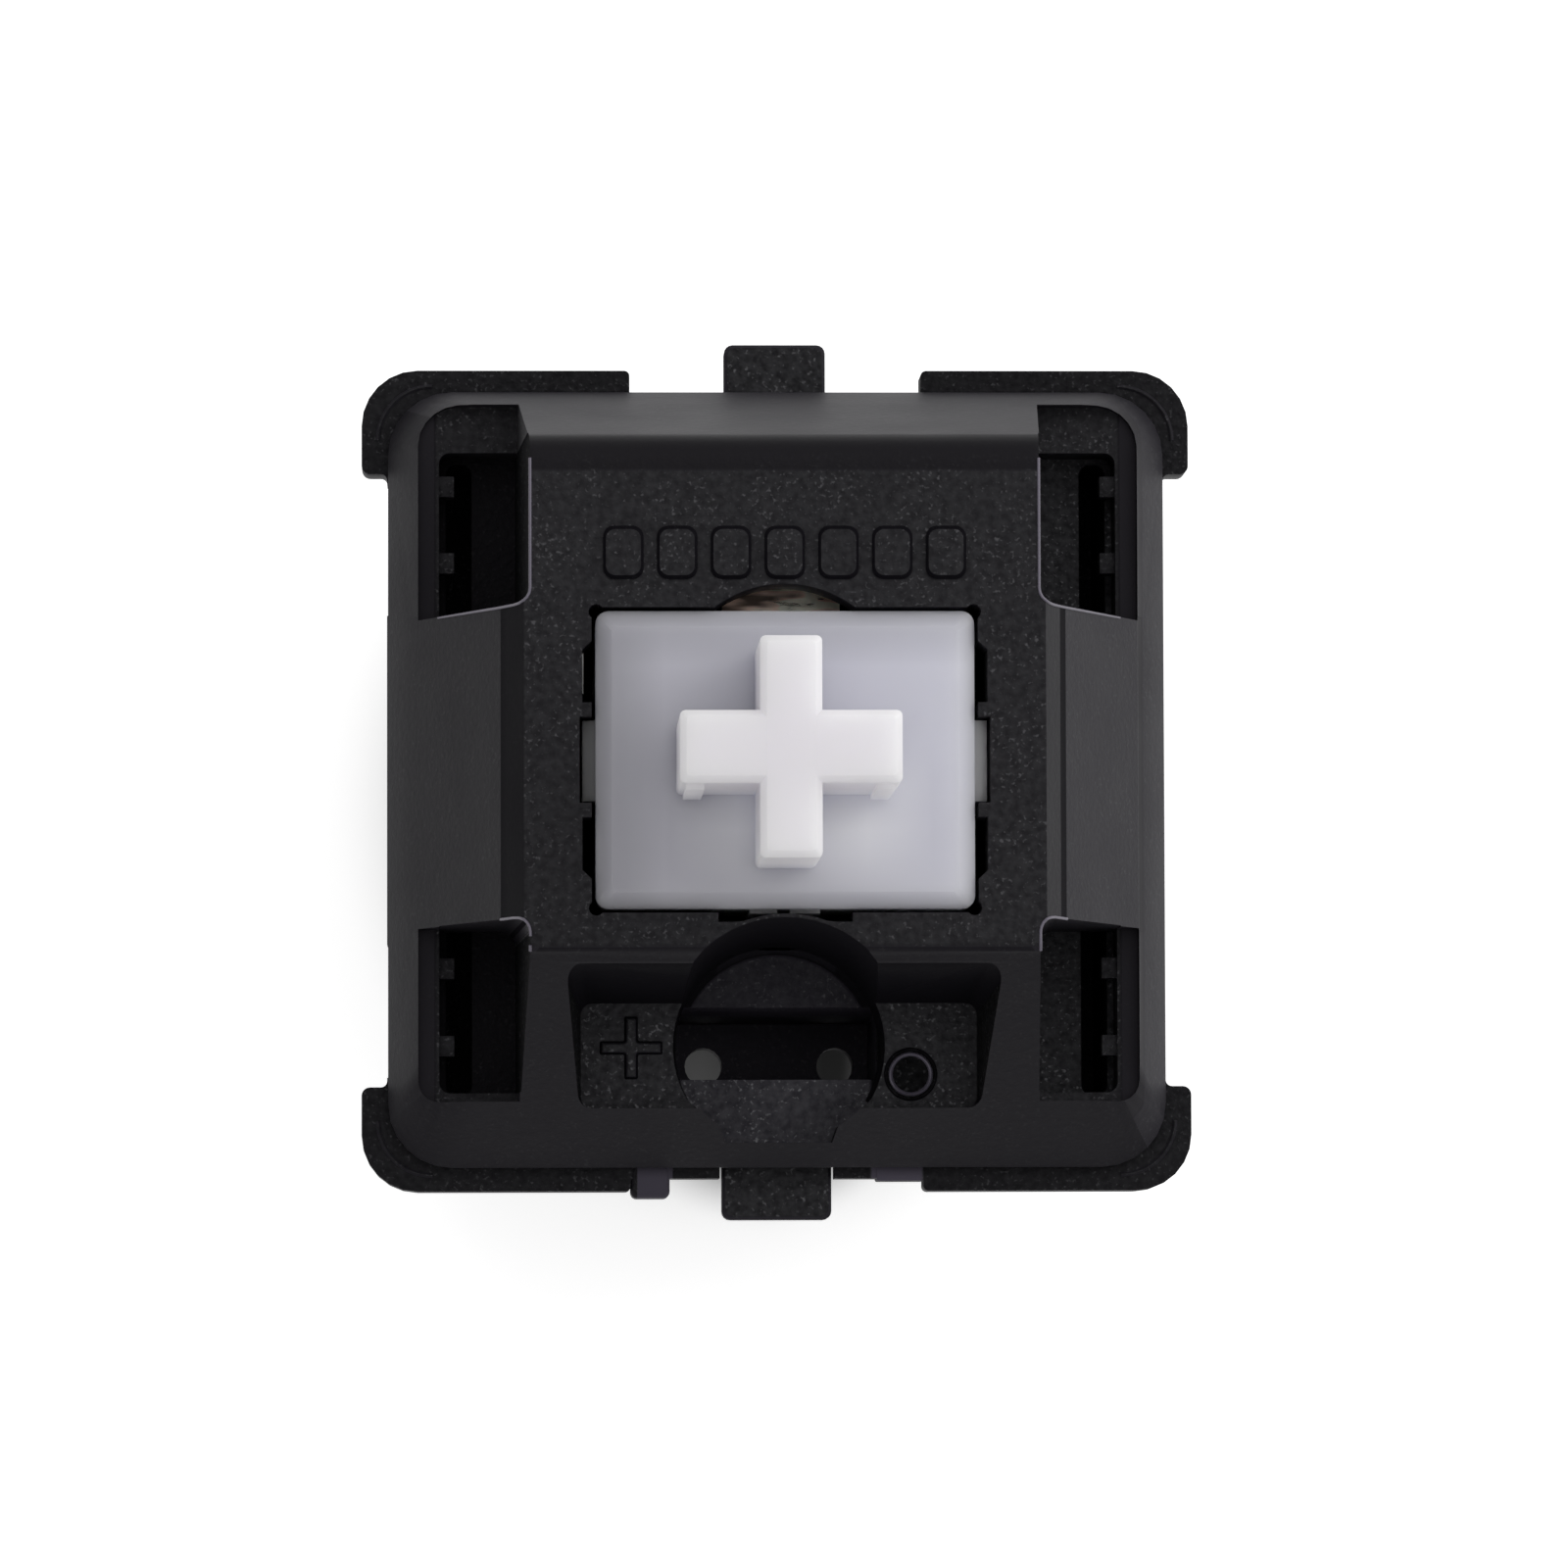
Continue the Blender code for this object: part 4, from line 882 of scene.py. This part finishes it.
# %% Ring
POCKET_FLOOR = 7.30
RING_PLACE = (2.46, -5.60)
RING_PROFILE = ((0.0, -0.03), (0.50, -0.03), (0.50, 0.004), (0.475, 0.040), (0.450, 0.034),
                (0.440, 0.006), (0.415, 0.006), (0.405, 0.055), (0.380, 0.070), (0.355, 0.055),
                (0.335, 0.010), (0.0, 0.010))
RING_CROWN = (0.34, 0.41)     # from one radius to the other
RING_CREASE = math.radians(50)


def turned(name, middle, floor_z, profile, around=48):
    """A profile of (radius, height) pairs in millimetres, turned once about its upright axis."""
    shape = bmesh.new()
    rows = []
    for radius, height in profile:
        count = around if radius else 1
        angles = [2 * math.pi * k / around for k in range(count)]
        rows.append([shape.verts.new(((middle[0] + radius * math.cos(a)) * MM,
                                      (middle[1] + radius * math.sin(a)) * MM,
                                      (floor_z + height) * MM)) for a in angles])
    for low_row, high_row in zip(rows, rows[1:]):
        for k in range(around):
            n = (k + 1) % around
            loop = [low_row[k % len(low_row)], low_row[n % len(low_row)],
                    high_row[n % len(high_row)], high_row[k % len(high_row)]]
            shape.faces.new(list(dict.fromkeys(loop)))
    mesh = bpy.data.meshes.new(name)
    shape.to_mesh(mesh)
    shape.free()
    mesh.shade_smooth()
    mesh.set_sharp_from_angle(angle=RING_CREASE)
    ring = bpy.data.objects.new(name, mesh)
    bpy.context.scene.collection.objects.link(ring)
    return ring


def crown(middle, normal):
    """The tops of the ring, which take a painted highlight."""
    return RING_CROWN[0] < math.dist((middle.x, middle.y), RING_PLACE) < RING_CROWN[1]


ring = turned("pocket_ring", RING_PLACE, POCKET_FLOOR, RING_PROFILE)
# painted shade on the ring, a painted highlight on its crown
paint(ring, black_shade, (black_bead_highlight, crown))
moulded_on(ring)

# %% Plus
PLUS_PLACE = (-2.76, -5.10)
PLUS_REACH = 0.55
PLUS_HALF_WIDE = 0.09
PLUS_RISE = 0.09
PLUS_SINK = 0.03
PLUS_DRAFT = 0.05
PLUS_BEVEL = 0.03


def plus_mesh(name, middle, floor_z):
    """Two crossed bars as one closed block, all in millimetres."""
    shape = bmesh.new()
    rings = []
    for lift, spread in ((-PLUS_SINK, PLUS_DRAFT), (PLUS_RISE, 0.0)):
        far, near = PLUS_REACH + spread, PLUS_HALF_WIDE + spread
        rings.append([shape.verts.new(((middle[0] + c * along - t * side) * MM,
                                       (middle[1] + t * along + c * side) * MM,
                                       (floor_z + lift) * MM))
                      for c, t in ((1, 0), (0, 1), (-1, 0), (0, -1))
                      for along, side in ((far, -near), (far, near), (near, near))])
    foot, top = rings
    shape.faces.new(top)
    shape.faces.new(reversed(foot))
    for i in range(len(foot)):
        j = (i + 1) % len(foot)
        shape.faces.new((foot[i], foot[j], top[j], top[i]))
    mesh = bpy.data.meshes.new(name)
    shape.to_mesh(mesh)
    shape.free()
    plus = bpy.data.objects.new(name, mesh)
    bpy.context.scene.collection.objects.link(plus)
    return round_edges(plus, PLUS_BEVEL)


plus = plus_mesh("pocket_plus", PLUS_PLACE, POCKET_FLOOR)
# painted shade on the plus's sides
paint(plus, black, (black_shade, sides))
moulded_on(plus)

# %% [markdown]
# ## Hair-thin beads along the windows, in painted highlight
#
# Where two mould parts meet, the plastic is left as a hair-thin bead, and its bright line is a
# painted highlight in a much lighter, glossier black. It follows edges that the solid already
# has, so it is picked from them by rule: every sharp edge in a few boxes at the corner windows.
# Geometry Nodes turn that chain of edges into curves and sweep a small round section along them.

# %% Bead tree


def bead_tree():
    """A round bead along every curve that the start mesh's edges make."""
    tree, given, out = new_tree("edge_bead", [
        ("Edges", "NodeSocketGeometry"), ("Radius", "NodeSocketFloat"),
        ("Finish", "NodeSocketMaterial")])
    curve = add(tree, "GeometryNodeMeshToCurve", Mesh=given["Edges"])
    section = add(tree, "GeometryNodeCurvePrimitiveCircle", Resolution=8, Radius=given["Radius"])
    bead = add(tree, "GeometryNodeCurveToMesh", Curve=curve.outputs[0],
               Profile_Curve=section.outputs[0], Fill_Caps=True)
    smooth = add(tree, "GeometryNodeSetShadeSmooth", Geometry=bead.outputs[0])
    real = add(tree, "GeometryNodeRealizeInstances", Geometry=smooth.outputs[0])
    done = add(tree, "GeometryNodeSetMaterial", Geometry=real.outputs[0],
               Material=given["Finish"])
    tree.links.new(done.outputs[0], out.inputs[0])
    return tree


# %% Window beads
BEAD_RADIUS = 0.028 * MM
BEAD_CORNER = math.radians(55)
# Each box from and to in X, Y and Z: the far windows, a stub at the left one, the near windows
BEAD_BOXES = ((4.60, 6.40, 2.85, 5.60, 8.30, 11.70), (-6.40, -4.60, 2.85, 5.60, 8.30, 11.70),
              (-6.45, -6.20, 2.80, 3.60, 7.00, 7.50),
              (4.60, 5.30, -3.50, -2.80, 10.40, 11.70), (-5.30, -4.60, -3.50, -2.80, 10.40, 11.70))


def picked_edges(node, boxes):
    """The node's sharp edges between an upright face and a rising one, inside the boxes."""
    copy = plain_copy(node, "edge_source")
    shape = bmesh.new()
    shape.from_mesh(copy.data)
    bpy.data.objects.remove(copy)
    kept = set()
    for edge in shape.edges:
        if len(edge.link_faces) != 2 or edge.calc_face_angle() < BEAD_CORNER:
            continue
        x, y, z = (edge.verts[0].co + edge.verts[1].co) / 2 / MM
        heights = sorted(abs(face.normal.z) for face in edge.link_faces)
        if heights[0] < 0.10 and heights[1] > 0.35:
            if any(a < x < b and c < y < d and e < z < f for a, b, c, d, e, f in boxes):
                kept.add(edge)
    others = [edge for edge in shape.edges if edge not in kept]
    bmesh.ops.delete(shape, geom=list(shape.faces), context="FACES_ONLY")
    bmesh.ops.delete(shape, geom=others, context="EDGES")
    bmesh.ops.delete(shape, geom=[v for v in shape.verts if not v.link_edges], context="VERTS")
    mesh = bpy.data.meshes.new("picked_edges")
    shape.to_mesh(mesh)
    shape.free()
    print(f"edges picked: {len(mesh.edges)}")
    return mesh


sweep = bead_tree()
# painted highlight on the beads
beads = grown("window_beads", sweep, {"Radius": BEAD_RADIUS, "Finish": black_bead_highlight},
              picked_edges(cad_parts["upper_housing"], BEAD_BOXES))
moulded_on(beads)

# %% [markdown]
# ## Lips on the ears
#
# A faint raised lip runs round each corner of the cover, on the ear below it. It is a quarter
# circle at every corner, swept by the same tree.

# %% Ear lips
LIP_CENTRE = (6.47, 6.42)
LIP_BEND = 1.02           # the radius of the quarter circle
LIP_RADIUS = 0.050 * MM   # the radius of the bead itself
LIP_Z = 5.985
LIP_STEPS = 14


def corner_arcs(name):
    """Four quarter circles as edges, one at each corner."""
    points, edges = [], []
    for side, end in ((-1, 1), (1, 1), (1, -1), (-1, -1)):
        for step in range(LIP_STEPS + 1):
            a = math.pi / 2 * step / LIP_STEPS
            points.append((side * (LIP_CENTRE[0] + LIP_BEND * math.cos(a)) * MM,
                           end * (LIP_CENTRE[1] + LIP_BEND * math.sin(a)) * MM, LIP_Z * MM))
            if step:
                edges.append((len(points) - 2, len(points) - 1))
    mesh = bpy.data.meshes.new(name)
    mesh.from_pydata(points, edges, [])
    return mesh


lips = grown("ear_lips", sweep, {"Radius": LIP_RADIUS, "Finish": black}, corner_arcs("arcs"))
moulded_on(lips)
